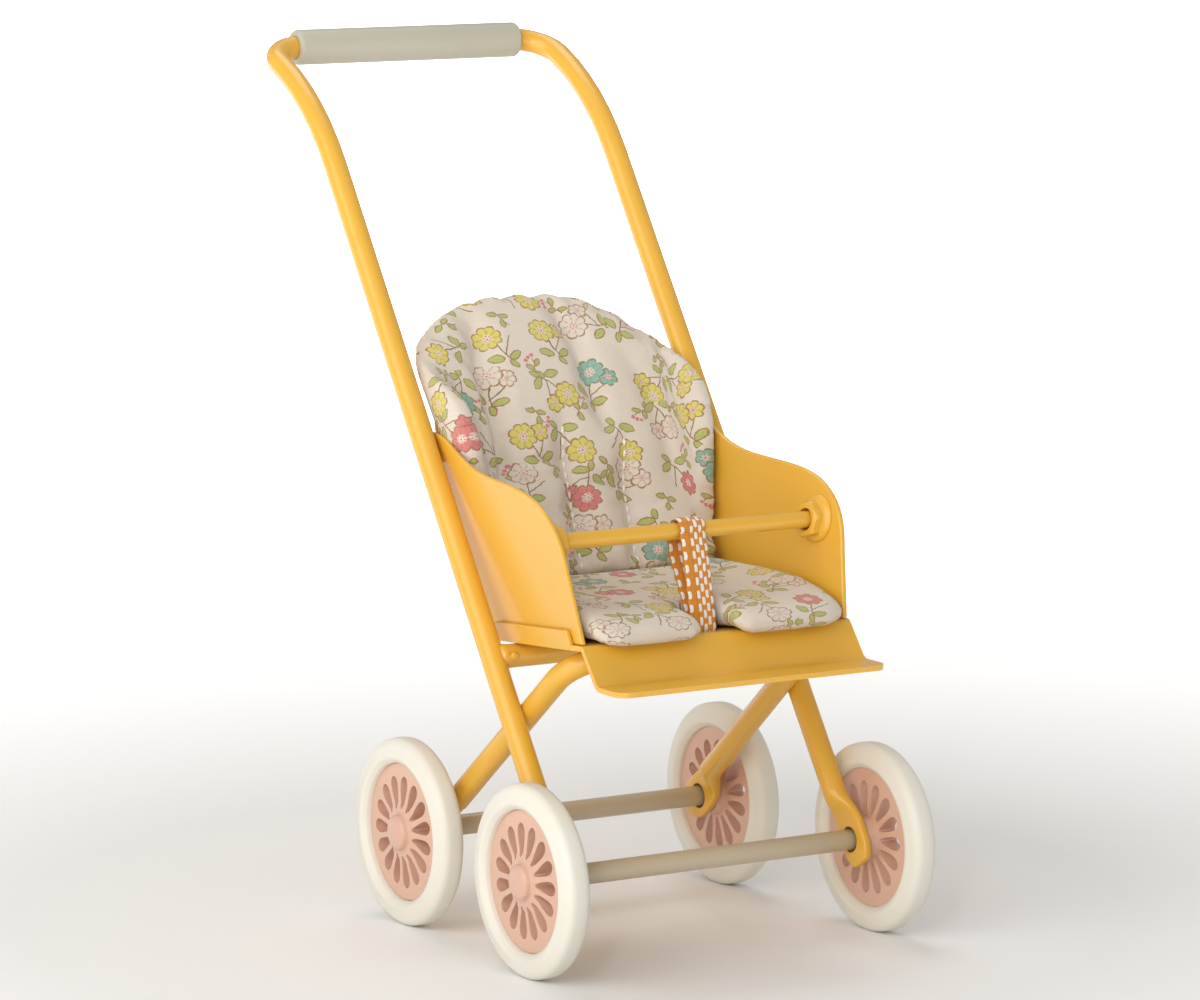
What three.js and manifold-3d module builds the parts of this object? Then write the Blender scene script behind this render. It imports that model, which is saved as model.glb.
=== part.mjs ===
// Doll stroller: an enamelled steel tube frame with a sheet steel bucket seat, a padded seat insert,
// a guard bar with a woven crotch strap, and two axles that each turn with a pair of wheels.
// Millimetres, +Z up. The stroller faces -Y, its own right side is -X, and it stands on Z = 0.
import * as THREE from 'three';
import { mergeVertices } from 'three/addons/utils/BufferGeometryUtils.js';
import { ConvexGeometry } from 'three/addons/geometries/ConvexGeometry.js';
import Module from 'manifold-3d';

// ---- driving dimensions -------------------------------------------------------------------------
const GAP = 0.25; // daylight left between fixed neighbours, about a coat of enamel on each

const WHEEL_RADIUS = 20;
const FRONT_TRACK = 83.4; // between the middles of the two front tyres
const REAR_TRACK = 78.3;
const AXLE_Y = 28; // the axles lie this far in front of and behind the middle of the wheelbase
const AXLE_RADIUS = 2.2;
const DISC_RADIUS = 14.7;
const SPOKE_GAPS = 15; // petal slots in each wheel disc

const TUBE_RADIUS = 2.5;
const TUBE_SIDES = 12;
const EAR_THICKNESS = 2; // a tube end pressed flat
const EAR_HOLE_RADIUS = 2.75;
const EAR_TO_WHEEL = 5.3; // from the middle of an ear to the middle of its tyre

const HANDLE_X = 35; // the handle tubes, side to side
const HANDLE_FOOT_Y = -29.4; // where a handle tube's centreline crosses axle height
const HANDLE_PITCH = THREE.MathUtils.degToRad(55.4); // its slope above the ground
const HANDLE_TOP_PITCH = THREE.MathUtils.degToRad(24); // its slope where it reaches the grip
const HANDLE_BEND_AT = 184; // distance up the tube to the corner of the long bend
const HANDLE_BEND_RADIUS = 58;
const HANDLE_TOP_LENGTH = 25; // from that corner to the corner at the grip
const CORNER_RADIUS = 8;

const GRIP_RADIUS = 3.9;
const GRIP_LENGTH = 56;

const LEG_FOOT_Y = 29.5; // where a leg's centreline crosses axle height
const LEG_FOOT_X = 31.9;
const LEG_TOP = new THREE.Vector3(29.8, -24.4, 63.4); // corner of the leg frame, under the seat front
const CROSS_TUBE = new THREE.Vector3(32.2, -1, 61.2); // half length, and where its axis runs

const SHEET = 1.1; // sheet steel thickness
const PAN_RISE = -0.096; // the pan climbs a little towards the front
const PAN_Z = 63.8; // underside of the pan at Y = 0
const PAN_REAR_Y = 7.4;
const PAN_FOLD_Y = -31.6; // where the pan folds down into the footrest
const FOOTREST_LOW = [-38.4, 59.4]; // Y and Z of the fold between the footrest and its lip
const LIP_Y = -47.3;
const LIP_HALF_WIDTH = 32.2;
const STRAP_SLOT = { x: -1, y: -28.2, halfWidth: 3.9, halfLength: 1.4 };
const FLANGE_HEIGHT = 4;
const FLANGE_FRONT_Y = -29;

const BACK_OFFSET = -6; // rear face of the back plate, measured square to the handle tubes
const BACK_FOOT = 58.2; // its lower edge, up the slope from axle height
const BACK_HEAD = { middle: 103, height: 21.5 };
const PAD_HEAD = { middle: 104.5, height: 28 };
const PAD_FOOT = 66.5;
const PAD_THICKNESS = 4.8;

const BAR_RADIUS = 1.75;
const BAR_Y = -19.5;
const BAR_Z = 87.3;
const BAR_HALF_LENGTH = 31.3;
const NUT_HEIGHT = 3.1; // square to the side panel that it is welded to
const NUT_FLANGE_THICKNESS = 0.9;
const NUT_FLANGE_RADIUS = 5;
const NUT_ACROSS_FLATS = 7;
const NUT_HOLE_RADIUS = 2.25;
const NUT_TURN = { right: -8, left: 17 }; // degrees from straight ahead up to a corner of the hexagon

const STRAP_HALF_WIDTH = 3.2;
const STRAP_THICKNESS = 1.1;
const STRAP_AT_BAR = 0.5; // its middle is here on the bar, and leans over to the slot's side below

const FRONT_END_Y = -AXLE_Y - WHEEL_RADIUS;

// ---- finishes -----------------------------------------------------------------------------------
const finish = (color, roughness, metalness) => () =>
  new THREE.MeshStandardMaterial({ color, roughness, metalness });
const yellowEnamel = finish(0xe0a740, 0.3, 0.1);
const axleEnamel = finish(0xb8aa92, 0.45, 0.1);
const gripPlastic = finish(0xbbb9ac, 0.5, 0);
const tyreRubber = finish(0xe9e6dd, 0.6, 0);
const discPlastic = finish(0xe4c4ae, 0.5, 0);
const printedCotton = finish(0xd8cdbb, 0.95, 0);
const wovenStrap = finish(0xc9832c, 0.9, 0);

// ---- solid modelling helpers --------------------------------------------------------------------
const wasm = await Module();
wasm.setup();

function toSolid(geometry) {
  const bare = geometry.clone();
  bare.deleteAttribute('normal');
  bare.deleteAttribute('uv');
  const welded = mergeVertices(bare, 1e-4);
  const vertProperties = new Float32Array(welded.attributes.position.array);
  const triVerts = new Uint32Array(welded.index.array);
  return new wasm.Manifold(new wasm.Mesh({ numProp: 3, vertProperties, triVerts }));
}

function toGeometry(solid) {
  const mesh = solid.getMesh();
  const geometry = new THREE.BufferGeometry();
  geometry.setAttribute('position', new THREE.BufferAttribute(mesh.vertProperties, 3));
  geometry.setIndex(new THREE.BufferAttribute(mesh.triVerts, 1));
  geometry.computeVertexNormals();
  return geometry;
}

const join = (geometries) =>
  toGeometry(geometries.map(toSolid).reduce((whole, piece) => whole.add(piece)));
const cut = (geometry, cutters) =>
  toGeometry(cutters.map(toSolid).reduce((left, cutter) => left.subtract(cutter), toSolid(geometry)));
const overlapOf = (a, b) => toGeometry(toSolid(a).intersect(toSolid(b)));

// An outline drawn in side view, as (Y, Z), and given a thickness along X.
const SIDE_VIEW = new THREE.Matrix4().makeBasis(
  new THREE.Vector3(0, 1, 0), new THREE.Vector3(0, 0, 1), new THREE.Vector3(1, 0, 0));

function fromSide(shape, fromX, toX) {
  const options = { depth: toX - fromX, bevelEnabled: false, curveSegments: 6 };
  const geometry = new THREE.ExtrudeGeometry(shape, options);
  return geometry.applyMatrix4(SIDE_VIEW).translate(fromX, 0, 0);
}

// An outline drawn in plan, as (X, Y), and given a height.
function fromAbove(shape, fromZ, toZ) {
  const options = { depth: toZ - fromZ, bevelEnabled: false, curveSegments: 6 };
  const geometry = new THREE.ExtrudeGeometry(shape, options);
  return geometry.translate(0, 0, fromZ);
}

const polygon = (points) => new THREE.Shape(points.map(([a, b]) => new THREE.Vector2(a, b)));

function rod(radius, fromX, toX, y, z, sides) {
  const geometry = new THREE.CylinderGeometry(radius, radius, toX - fromX, sides);
  return geometry.rotateZ(Math.PI / 2).translate((fromX + toX) / 2, y, z);
}

// A bent rod: straight runs between corners, each corner rounded to its own radius.
class BentRod extends THREE.Curve {
  constructor(corners, radii, turnPerStation = THREE.MathUtils.degToRad(10)) {
    super();
    this.stations = [corners[0]];
    for (let i = 1; i < corners.length - 1; i += 1) {
      this.roundCorner(corners[i - 1], corners[i], corners[i + 1], radii[i - 1], turnPerStation);
    }
    this.stations.push(corners[corners.length - 1]);
  }

  roundCorner(before, corner, after, radius, turnPerStation) {
    const into = corner.clone().sub(before).normalize();
    const out = after.clone().sub(corner).normalize();
    const turn = into.angleTo(out);
    const start = corner.clone().addScaledVector(into, -radius * Math.tan(turn / 2));
    const side = out.clone().addScaledVector(into, -out.dot(into)).normalize();
    const steps = Math.max(3, Math.round(turn / turnPerStation));
    for (let k = 0; k <= steps; k += 1) {
      const angle = (turn * k) / steps;
      const station = start.clone().addScaledVector(into, radius * Math.sin(angle));
      this.stations.push(station.addScaledVector(side, radius * (1 - Math.cos(angle))));
    }
  }

  // Steps follow the stations, so a straight run takes one step.
  getUtoTmapping(u) {
    return u;
  }

  getPoint(t, target = new THREE.Vector3()) {
    const place = t * (this.stations.length - 1);
    const i = Math.min(Math.floor(place), this.stations.length - 2);
    return target.lerpVectors(this.stations[i], this.stations[i + 1], place - i);
  }

  geometry(radius, sides) {
    const section = new THREE.Shape();
    for (let k = 0; k < sides; k += 1) {
      const angle = (2 * Math.PI * k) / sides;
      const point = [radius * Math.cos(angle), radius * Math.sin(angle)];
      if (k === 0) section.moveTo(...point);
      else section.lineTo(...point);
    }
    const steps = this.stations.length - 1;
    return new THREE.ExtrudeGeometry(section, { steps, extrudePath: this, bevelEnabled: false });
  }
}

// ---- the two slopes of the frame ----------------------------------------------------------------
// A slope is a straight tube centreline seen from the side: its foot is at axle height.
class Slope {
  constructor(footY, pitch) {
    this.foot = [footY, WHEEL_RADIUS];
    this.along = [Math.cos(pitch), Math.sin(pitch)];
    this.across = [Math.sin(pitch), -Math.cos(pitch)];
  }

  at(distance, offset = 0) {
    const pick = (i) => this.foot[i] + this.along[i] * distance + this.across[i] * offset;
    return [pick(0), pick(1)];
  }

  // Where a point given as (Y, Z) lies on this slope.
  locate(y, z) {
    const [dy, dz] = [y - this.foot[0], z - this.foot[1]];
    return {
      distance: dy * this.along[0] + dz * this.along[1],
      offset: dy * this.across[0] + dz * this.across[1],
    };
  }
}

const handleSlope = new Slope(HANDLE_FOOT_Y, HANDLE_PITCH);
const legPitch = Math.PI - Math.atan2(LEG_TOP.z - WHEEL_RADIUS, LEG_FOOT_Y - LEG_TOP.y);
const legSlope = new Slope(LEG_FOOT_Y, legPitch);

// ---- frame --------------------------------------------------------------------------------------
const EAR_SHOULDER = 6.2; // distances along the tube, from the axle hole
const TUBE_START = 9;

// A tube end pressed flat and pierced for the axle: the flat lies on the outboard side of the tube.
function ear(slope, axleY, tubeX, earX) {
  const side = Math.sign(earX);
  const hole = slope.locate(axleY, WHEEL_RADIUS);
  const spot = (along, across) => slope.at(hole.distance + along, across);
  const middle = hole.offset * 0.6;
  const outline = polygon([
    spot(EAR_SHOULDER, -3), spot(3.4, middle - 4.4), spot(-2.6, middle - 4.4), spot(-5.8, middle - 2.3),
    spot(-5.8, middle + 2.3), spot(-2.6, middle + 4.4), spot(3.4, middle + 4.4), spot(EAR_SHOULDER, 3),
  ]);
  outline.holes.push(new THREE.Path().absarc(axleY, WHEEL_RADIUS, EAR_HOLE_RADIUS, 0, 2 * Math.PI, true));
  const plate = fromSide(outline, earX - EAR_THICKNESS / 2, earX + EAR_THICKNESS / 2);

  const swell = [];
  for (const x of [earX - (side * EAR_THICKNESS) / 2, earX + (side * EAR_THICKNESS) / 2]) {
    for (const across of [-3, 3]) swell.push(new THREE.Vector3(x, ...spot(EAR_SHOULDER - 0.4, across)));
  }
  for (let k = 0; k < TUBE_SIDES; k += 1) {
    const angle = (2 * Math.PI * k) / TUBE_SIDES;
    const across = 0.98 * TUBE_RADIUS * Math.cos(angle);
    const x = tubeX + 0.98 * TUBE_RADIUS * Math.sin(angle);
    swell.push(new THREE.Vector3(x, ...spot(TUBE_START + 0.4, across)));
  }
  return [plate, new ConvexGeometry(swell)];
}

function handleFrame() {
  const foot = handleSlope.locate(-AXLE_Y, WHEEL_RADIUS).distance + TUBE_START;
  const [bendY, bendZ] = handleSlope.at(HANDLE_BEND_AT);
  const gripY = bendY + HANDLE_TOP_LENGTH * Math.cos(HANDLE_TOP_PITCH);
  const gripZ = bendZ + HANDLE_TOP_LENGTH * Math.sin(HANDLE_TOP_PITCH);
  const half = (x) => [
    new THREE.Vector3(x, ...handleSlope.at(foot)),
    new THREE.Vector3(x, bendY, bendZ),
    new THREE.Vector3(x, gripY, gripZ),
  ];
  const corners = [...half(-HANDLE_X), ...half(HANDLE_X).reverse()];
  const radii = [HANDLE_BEND_RADIUS, CORNER_RADIUS, CORNER_RADIUS, HANDLE_BEND_RADIUS];
  const tube = new BentRod(corners, radii).geometry(TUBE_RADIUS, TUBE_SIDES);
  const earX = FRONT_TRACK / 2 - EAR_TO_WHEEL;
  const ears = [-1, 1].flatMap((side) => ear(handleSlope, -AXLE_Y, side * HANDLE_X, side * earX));
  return { geometry: join([tube, ...ears]), gripY, gripZ };
}

// The legs lean against the handle tubes from inside, with a shallow dent where they cross.
function legFrame() {
  const foot = legSlope.locate(AXLE_Y, WHEEL_RADIUS).distance + TUBE_START;
  const start = (side) => new THREE.Vector3(side * LEG_FOOT_X, ...legSlope.at(foot));
  const top = (side) => new THREE.Vector3(side * LEG_TOP.x, LEG_TOP.y, LEG_TOP.z);
  const path = new BentRod([start(-1), top(-1), top(1), start(1)], [CORNER_RADIUS, CORNER_RADIUS]);
  const tube = path.geometry(TUBE_RADIUS, TUBE_SIDES);
  const earX = REAR_TRACK / 2 - EAR_TO_WHEEL;
  const ears = [-1, 1].flatMap((side) => ear(legSlope, AXLE_Y, side * LEG_FOOT_X, side * earX));
  const dents = [-1, 1].map((side) => new BentRod([
    new THREE.Vector3(side * HANDLE_X, ...handleSlope.at(15)),
    new THREE.Vector3(side * HANDLE_X, ...handleSlope.at(37)),
    new THREE.Vector3(side * HANDLE_X, ...handleSlope.at(60)),
  ], [0]).geometry(TUBE_RADIUS + GAP, TUBE_SIDES));
  return cut(join([tube, ...ears]), dents);
}

function handleGrip() {
  const bore = TUBE_RADIUS + 0.15;
  const edge = 1.05; // rounding of the ends
  const profile = new THREE.Path();
  profile.moveTo(bore, -GRIP_LENGTH / 2);
  profile.lineTo(GRIP_RADIUS - edge, -GRIP_LENGTH / 2);
  profile.absarc(GRIP_RADIUS - edge, -GRIP_LENGTH / 2 + edge, edge, -Math.PI / 2, 0, false);
  profile.absarc(GRIP_RADIUS - edge, GRIP_LENGTH / 2 - edge, edge, 0, Math.PI / 2, false);
  profile.lineTo(bore, GRIP_LENGTH / 2);
  profile.closePath();
  const geometry = new THREE.LatheGeometry(closedProfile(profile, 2), 20);
  return geometry.rotateZ(Math.PI / 2);
}

// The points of a closed outline, without doubled points, ready for a lathe.
function closedProfile(path, divisions) {
  const points = path.getPoints(divisions);
  const kept = points.filter((point, i) => i === 0 || point.distanceTo(points[i - 1]) > 1e-3);
  if (kept[0].distanceTo(kept[kept.length - 1]) > 1e-3) kept.push(kept[0].clone());
  return kept;
}

// ---- bucket seat --------------------------------------------------------------------------------
// The side panels lean outwards as they rise and open towards the front.
const PANEL_LEAN = 0.139;
const PANEL_TOE = -0.079;
const PANEL_X = 31.74 - 67 * PANEL_LEAN + 30 * PANEL_TOE; // outer face, as X at Y = 0 and Z = 0
const panelX = (y, z) => PANEL_X + PANEL_LEAN * z + PANEL_TOE * y;
const panUnder = (y) => PAN_Z + PAN_RISE * y;
const panTop = (y) => panUnder(y) + SHEET;

// Leans a plate drawn at X = 0 so that it lies on the plane of a side panel.
function lean(geometry, side) {
  const shear = new THREE.Matrix4().set(
    1, side * PANEL_TOE, side * PANEL_LEAN, side * PANEL_X, 0, 1, 0, 0, 0, 0, 1, 0, 0, 0, 0, 1);
  return geometry.applyMatrix4(shear);
}

// A plate on the panel plane, from `inset` to `inset + thickness` inboard of the outer face.
function leaningPlate(shape, side, inset, thickness) {
  const [near, far] = [-side * inset, -side * (inset + thickness)];
  return lean(fromSide(shape, Math.min(near, far), Math.max(near, far)), side);
}

function sidePanel(side) {
  const rearOffset = -BACK_OFFSET + 0.8;
  const [footY] = handleSlope.at(BACK_FOOT - 1, rearOffset);
  const outline = new THREE.Shape();
  outline.moveTo(footY, panTop(footY) + GAP);
  outline.lineTo(...handleSlope.at(107.5, rearOffset));
  outline.lineTo(26.5, 104.4);
  outline.bezierCurveTo(20, 103.2, 17, 99.2, 6, 98.3);
  outline.bezierCurveTo(-4, 97.5, -11, 98, -18, 95.6);
  outline.bezierCurveTo(-25, 92.6, -27.6, 88.5, -28.7, 82);
  outline.lineTo(-32.1, panTop(-32.1) + GAP);
  outline.closePath();
  return leaningPlate(outline, side, 0, SHEET);
}

// Pan, footrest and lip are one folded sheet, with a flange turned up outside each side panel.
function seatPan() {
  const flange = 0.9;
  const [lowY, lowZ] = FOOTREST_LOW;
  const fold = SHEET * 0.414; // the mitre of a 45 degree fold
  const section = polygon([
    [PAN_REAR_Y, panUnder(PAN_REAR_Y)], [PAN_REAR_Y, panTop(PAN_REAR_Y)],
    [PAN_FOLD_Y - 0.9, panTop(PAN_FOLD_Y)], [PAN_FOLD_Y - 1.7, panTop(PAN_FOLD_Y) - 0.4],
    [lowY - fold, lowZ + SHEET + 0.3], [lowY - 1.4, lowZ + SHEET], [LIP_Y, lowZ + SHEET],
    [LIP_Y, lowZ], [lowY, lowZ], [PAN_FOLD_Y, panUnder(PAN_FOLD_Y)],
  ]);
  const outer = (y) => panelX(y, panUnder(y)) + GAP + flange;
  const neck = PAN_FOLD_Y - 0.9;
  const round = 3;
  const plan = new THREE.Shape();
  plan.moveTo(-outer(PAN_REAR_Y), PAN_REAR_Y);
  plan.lineTo(-outer(FLANGE_FRONT_Y), FLANGE_FRONT_Y);
  plan.lineTo(-LIP_HALF_WIDTH, neck);
  plan.lineTo(-LIP_HALF_WIDTH, LIP_Y + round);
  plan.absarc(-LIP_HALF_WIDTH + round, LIP_Y + round, round, Math.PI, 1.5 * Math.PI, false);
  plan.absarc(LIP_HALF_WIDTH - round, LIP_Y + round, round, 1.5 * Math.PI, 2 * Math.PI, false);
  plan.lineTo(LIP_HALF_WIDTH, neck);
  plan.lineTo(outer(FLANGE_FRONT_Y), FLANGE_FRONT_Y);
  plan.lineTo(outer(PAN_REAR_Y), PAN_REAR_Y);
  plan.closePath();
  const sheet = overlapOf(fromSide(section, -36, 36), fromAbove(plan, 50, 80));

  const flangeOutline = polygon([
    [PAN_REAR_Y, panUnder(PAN_REAR_Y)], [PAN_REAR_Y, panUnder(PAN_REAR_Y) + FLANGE_HEIGHT],
    [FLANGE_FRONT_Y + 1.6, panUnder(FLANGE_FRONT_Y + 1.6) + FLANGE_HEIGHT],
    [FLANGE_FRONT_Y, panUnder(FLANGE_FRONT_Y)],
  ]);
  const flanges = [-1, 1].map((side) => leaningPlate(flangeOutline, side, -GAP - flange, flange));
  const { x, y, halfWidth, halfLength } = STRAP_SLOT;
  const slot = new THREE.BoxGeometry(2 * halfWidth, 2 * halfLength, 20).translate(x, y, panUnder(y));
  return cut(join([sheet, ...flanges]), [slot]);
}

// The back plate and the back pad are drawn on the slope of the handle tubes: X across, Y up the
// slope from axle height, Z square to it and towards the front.
const halfWidthUpSlope = (distance, towardsFront) => {
  const [y, z] = handleSlope.at(distance, -towardsFront);
  return panelX(y, z) - SHEET - GAP;
};

function archedOutline(foot, head, footHalf, headHalf) {
  const outline = new THREE.Shape();
  outline.moveTo(-footHalf, foot);
  outline.lineTo(footHalf, foot);
  outline.lineTo(headHalf, head.middle);
  outline.absellipse(0, head.middle, headHalf, head.height, 0, Math.PI, false);
  outline.lineTo(-footHalf, foot);
  return outline;
}

function backPlate() {
  const outline = archedOutline(BACK_FOOT, BACK_HEAD,
    halfWidthUpSlope(BACK_FOOT, BACK_OFFSET), halfWidthUpSlope(BACK_HEAD.middle, BACK_OFFSET));
  return new THREE.ExtrudeGeometry(outline, { depth: SHEET, bevelEnabled: false, curveSegments: 20 })
    .translate(0, 0, BACK_OFFSET);
}

// A curved pad: its sides come forward along the side panels.
function backPad() {
  const rear = BACK_OFFSET + SHEET + 0.4;
  const curl = 5.5;
  const halfFoot = halfWidthUpSlope(PAD_FOOT, rear) - 0.6;
  const outline = archedOutline(PAD_FOOT, PAD_HEAD, halfFoot, 31);
  const block = new THREE.ExtrudeGeometry(outline, { depth: 30, bevelEnabled: false, curveSegments: 20 })
    .translate(0, 0, -12);
  const reach = 33;
  const bow = (x) => rear + curl * (x / reach) ** 2;
  const steps = 12;
  const xs = Array.from({ length: steps + 1 }, (_, i) => -reach + (2 * reach * i) / steps);
  const section = polygon([
    ...xs.map((x) => [x, bow(x)]), ...xs.reverse().map((x) => [x, bow(x) + PAD_THICKNESS])]);
  const curved = new THREE.ExtrudeGeometry(section, { depth: 90, bevelEnabled: false })
    .rotateX(Math.PI / 2).translate(0, 140, 0);
  return overlapOf(block, curved);
}

// A flat pad with two front lobes that droop over the fold of the footrest.
function seatPad() {
  const rearY = 6;
  const [frontY, notchY] = [-36.4, -24.5];
  const notch = STRAP_HALF_WIDTH + 1;
  const middle = STRAP_SLOT.x;
  const halfAt = (y) => panelX(y, panTop(y)) - SHEET - 0.5;
  const lobe = 5;
  const half = halfAt(-30);
  const plan = new THREE.Shape();
  plan.moveTo(-halfAt(rearY), rearY);
  plan.lineTo(-half, -30);
  plan.lineTo(-half, frontY + lobe);
  plan.absarc(-half + lobe, frontY + lobe, lobe, Math.PI, 1.5 * Math.PI, false);
  plan.absarc(middle - notch - lobe / 2, frontY + lobe / 2, lobe / 2, 1.5 * Math.PI, 2 * Math.PI, false);
  plan.lineTo(middle - notch, notchY);
  plan.lineTo(middle + notch, notchY);
  plan.absarc(middle + notch + lobe / 2, frontY + lobe / 2, lobe / 2, Math.PI, 1.5 * Math.PI, false);
  plan.absarc(half - lobe, frontY + lobe, lobe, 1.5 * Math.PI, 2 * Math.PI, false);
  plan.lineTo(half, -30);
  plan.lineTo(halfAt(rearY), rearY);
  plan.closePath();
  const under = (y) => panTop(y) + 0.3;
  const section = polygon([
    [rearY + 2, under(rearY + 2)], [rearY + 1, 75.4], [-14, 74.6], [-24, 73.3], [-31, 71.9],
    [frontY - 1, 70.8], [frontY - 1, 67.8], [-34, 67.4], [-32.4, under(-31)], [-31, under(-31)],
  ]);
  return overlapOf(fromAbove(plan, 55, 85), fromSide(section, -40, 40));
}

// ---- guard bar and strap ------------------------------------------------------------------------
// A flanged nut welded inside each panel is the bar's socket, and the bar lies loose in it.
function roundTheBar(radius, count, degrees) {
  return polygon(Array.from({ length: count }, (_, k) => {
    const angle = THREE.MathUtils.degToRad(degrees + (360 * k) / count);
    return [BAR_Y - radius * Math.cos(angle), BAR_Z + radius * Math.sin(angle)];
  }));
}

function guardNut(side, turn) {
  const seat = SHEET + GAP;
  const toCorners = NUT_ACROSS_FLATS / Math.sqrt(3);
  const hexagon = leaningPlate(roundTheBar(toCorners, 6, turn), side, seat, NUT_HEIGHT);
  const flange = leaningPlate(roundTheBar(NUT_FLANGE_RADIUS, 24, 0), side, seat, NUT_FLANGE_THICKNESS);
  const ends = [side * 26, side * 36];
  const hole = rod(NUT_HOLE_RADIUS, Math.min(...ends), Math.max(...ends), BAR_Y, BAR_Z, 18);
  return cut(join([hexagon, flange]), [hole]);
}

// One loop of webbing: over the bar, down through the slot in the pan, its ends sewn under the pan.
function crotchStrap() {
  const inner = BAR_RADIUS + 0.3;
  const outer = inner + STRAP_THICKNESS;
  const under = panUnder(STRAP_SLOT.y);
  const slotY = STRAP_SLOT.y;
  const outline = new THREE.Shape();
  outline.moveTo(slotY - STRAP_THICKNESS, under - 4);
  outline.lineTo(slotY - STRAP_THICKNESS, under + 2);
  outline.lineTo(BAR_Y - outer, BAR_Z);
  outline.absarc(BAR_Y, BAR_Z, outer, Math.PI, 0, true);
  outline.lineTo(BAR_Y + outer, BAR_Z - 3);
  outline.lineTo(slotY + STRAP_THICKNESS, under + 5);
  outline.lineTo(slotY + STRAP_THICKNESS, under - 4);
  outline.closePath();
  const hollow = new THREE.Path();
  hollow.moveTo(slotY + 1.5, under + 7.4);
  hollow.lineTo(BAR_Y + inner, BAR_Z - 3);
  hollow.lineTo(BAR_Y + inner, BAR_Z);
  hollow.absarc(BAR_Y, BAR_Z, inner, 0, Math.PI, false);
  hollow.closePath();
  outline.holes.push(hollow);
  const strap = fromSide(outline, -STRAP_HALF_WIDTH, STRAP_HALF_WIDTH);
  const leanOver = (STRAP_AT_BAR - STRAP_SLOT.x + 0.5) / (BAR_Z - under);
  const shear = new THREE.Matrix4().set(
    1, 0, leanOver, STRAP_AT_BAR - leanOver * BAR_Z,
    0, 1, 0, 0,
    0, 0, 1, 0,
    0, 0, 0, 1,
  );
  return strap.applyMatrix4(shear);
}

// ---- wheels -------------------------------------------------------------------------------------
// Wheel parts are turned about their own Y, which points outboard, and lie with the hub at 0.
const TYRE_SEGMENTS = 36;
const DISC_SEGMENTS = 30;

function tyre() {
  const half = [[14.9, 2.1], [15.7, 2.9], [17.2, 3.15], [19, 2.7], [WHEEL_RADIUS, 1.4]];
  const across = 1 / Math.cos(Math.PI / TYRE_SEGMENTS); // the flats, not the corners, are at the radius
  const points = [...half.map(([r, t]) => [r, -t]), ...half.reverse()];
  const profile = points.map(([r, t]) => new THREE.Vector2(r * across, t));
  profile.push(profile[0].clone());
  return new THREE.LatheGeometry(profile, TYRE_SEGMENTS, Math.PI / TYRE_SEGMENTS);
}

function wheelDisc() {
  const boreRadius = AXLE_RADIUS + 0.15;
  const profile = [
    [0, 4.05], [2.2, 3.6], [3.7, 2.3], [5.2, 2.1], [6.2, 1.7], [DISC_RADIUS, 1.2],
    [DISC_RADIUS, -1.5], [4.6, -1.9], [3.9, -3.9], [boreRadius, -3.9], [boreRadius, 1.2], [0, 1.2],
  ].map(([r, t]) => new THREE.Vector2(r, t)).reverse();
  const disc = new THREE.LatheGeometry(profile, DISC_SEGMENTS);
  const petals = Array.from({ length: SPOKE_GAPS }, (_, i) => petalCutter((2 * Math.PI * i) / SPOKE_GAPS));
  return cut(disc, petals);
}

// A petal slot: pointed near the hub, widest near its round outer end.
function petalCutter(angle) {
  const half = [[5.4, 0.35], [8.4, 1.05], [10.4, 1.25]];
  const petal = polygon([
    ...half.map(([r, w]) => [r, -w]), [11.9, -0.45], [11.9, 0.45], ...half.reverse()]);
  return new THREE.ExtrudeGeometry(petal, { depth: 12, bevelEnabled: false })
    .translate(0, 0, -6).rotateX(Math.PI / 2).rotateY(angle);
}

// ---- the stroller -------------------------------------------------------------------------------
function mesh(name, geometry, material) {
  const piece = new THREE.Mesh(geometry, material());
  piece.name = name;
  return piece;
}

const stroller = new THREE.Group();
const frame = handleFrame();
const rearEndY = frame.gripY + GRIP_RADIUS;
stroller.position.y = -(FRONT_END_Y + rearEndY) / 2; // the origin is under the middle of the whole

stroller.add(mesh('handle_frame', frame.geometry, yellowEnamel));
stroller.add(mesh('leg_frame', legFrame(), yellowEnamel));
const crossTube = rod(TUBE_RADIUS, -CROSS_TUBE.x, CROSS_TUBE.x, CROSS_TUBE.y, CROSS_TUBE.z, TUBE_SIDES);
stroller.add(mesh('cross_tube', crossTube, yellowEnamel));

const grip = mesh('handle_grip', handleGrip(), gripPlastic);
grip.position.set(0, frame.gripY, frame.gripZ);
stroller.add(grip);

stroller.add(mesh('seat_pan', seatPan(), yellowEnamel));
for (const [name, side] of [['right', -1], ['left', 1]]) {
  stroller.add(mesh(`side_panel_${name}`, sidePanel(side), yellowEnamel));
  stroller.add(mesh(`guard_nut_${name}`, guardNut(side, NUT_TURN[name]), yellowEnamel));
}
const guardBar = rod(BAR_RADIUS, -BAR_HALF_LENGTH, BAR_HALF_LENGTH, BAR_Y, BAR_Z, 18);
stroller.add(mesh('guard_bar', guardBar, yellowEnamel));
stroller.add(mesh('crotch_strap', crotchStrap(), wovenStrap));
stroller.add(mesh('seat_pad', seatPad(), printedCotton));

const reclined = new THREE.Group();
reclined.position.set(0, HANDLE_FOOT_Y, WHEEL_RADIUS);
reclined.rotation.x = HANDLE_PITCH;
reclined.add(mesh('back_plate', backPlate(), yellowEnamel));
reclined.add(mesh('back_pad', backPad(), printedCotton));
stroller.add(reclined);

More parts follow.
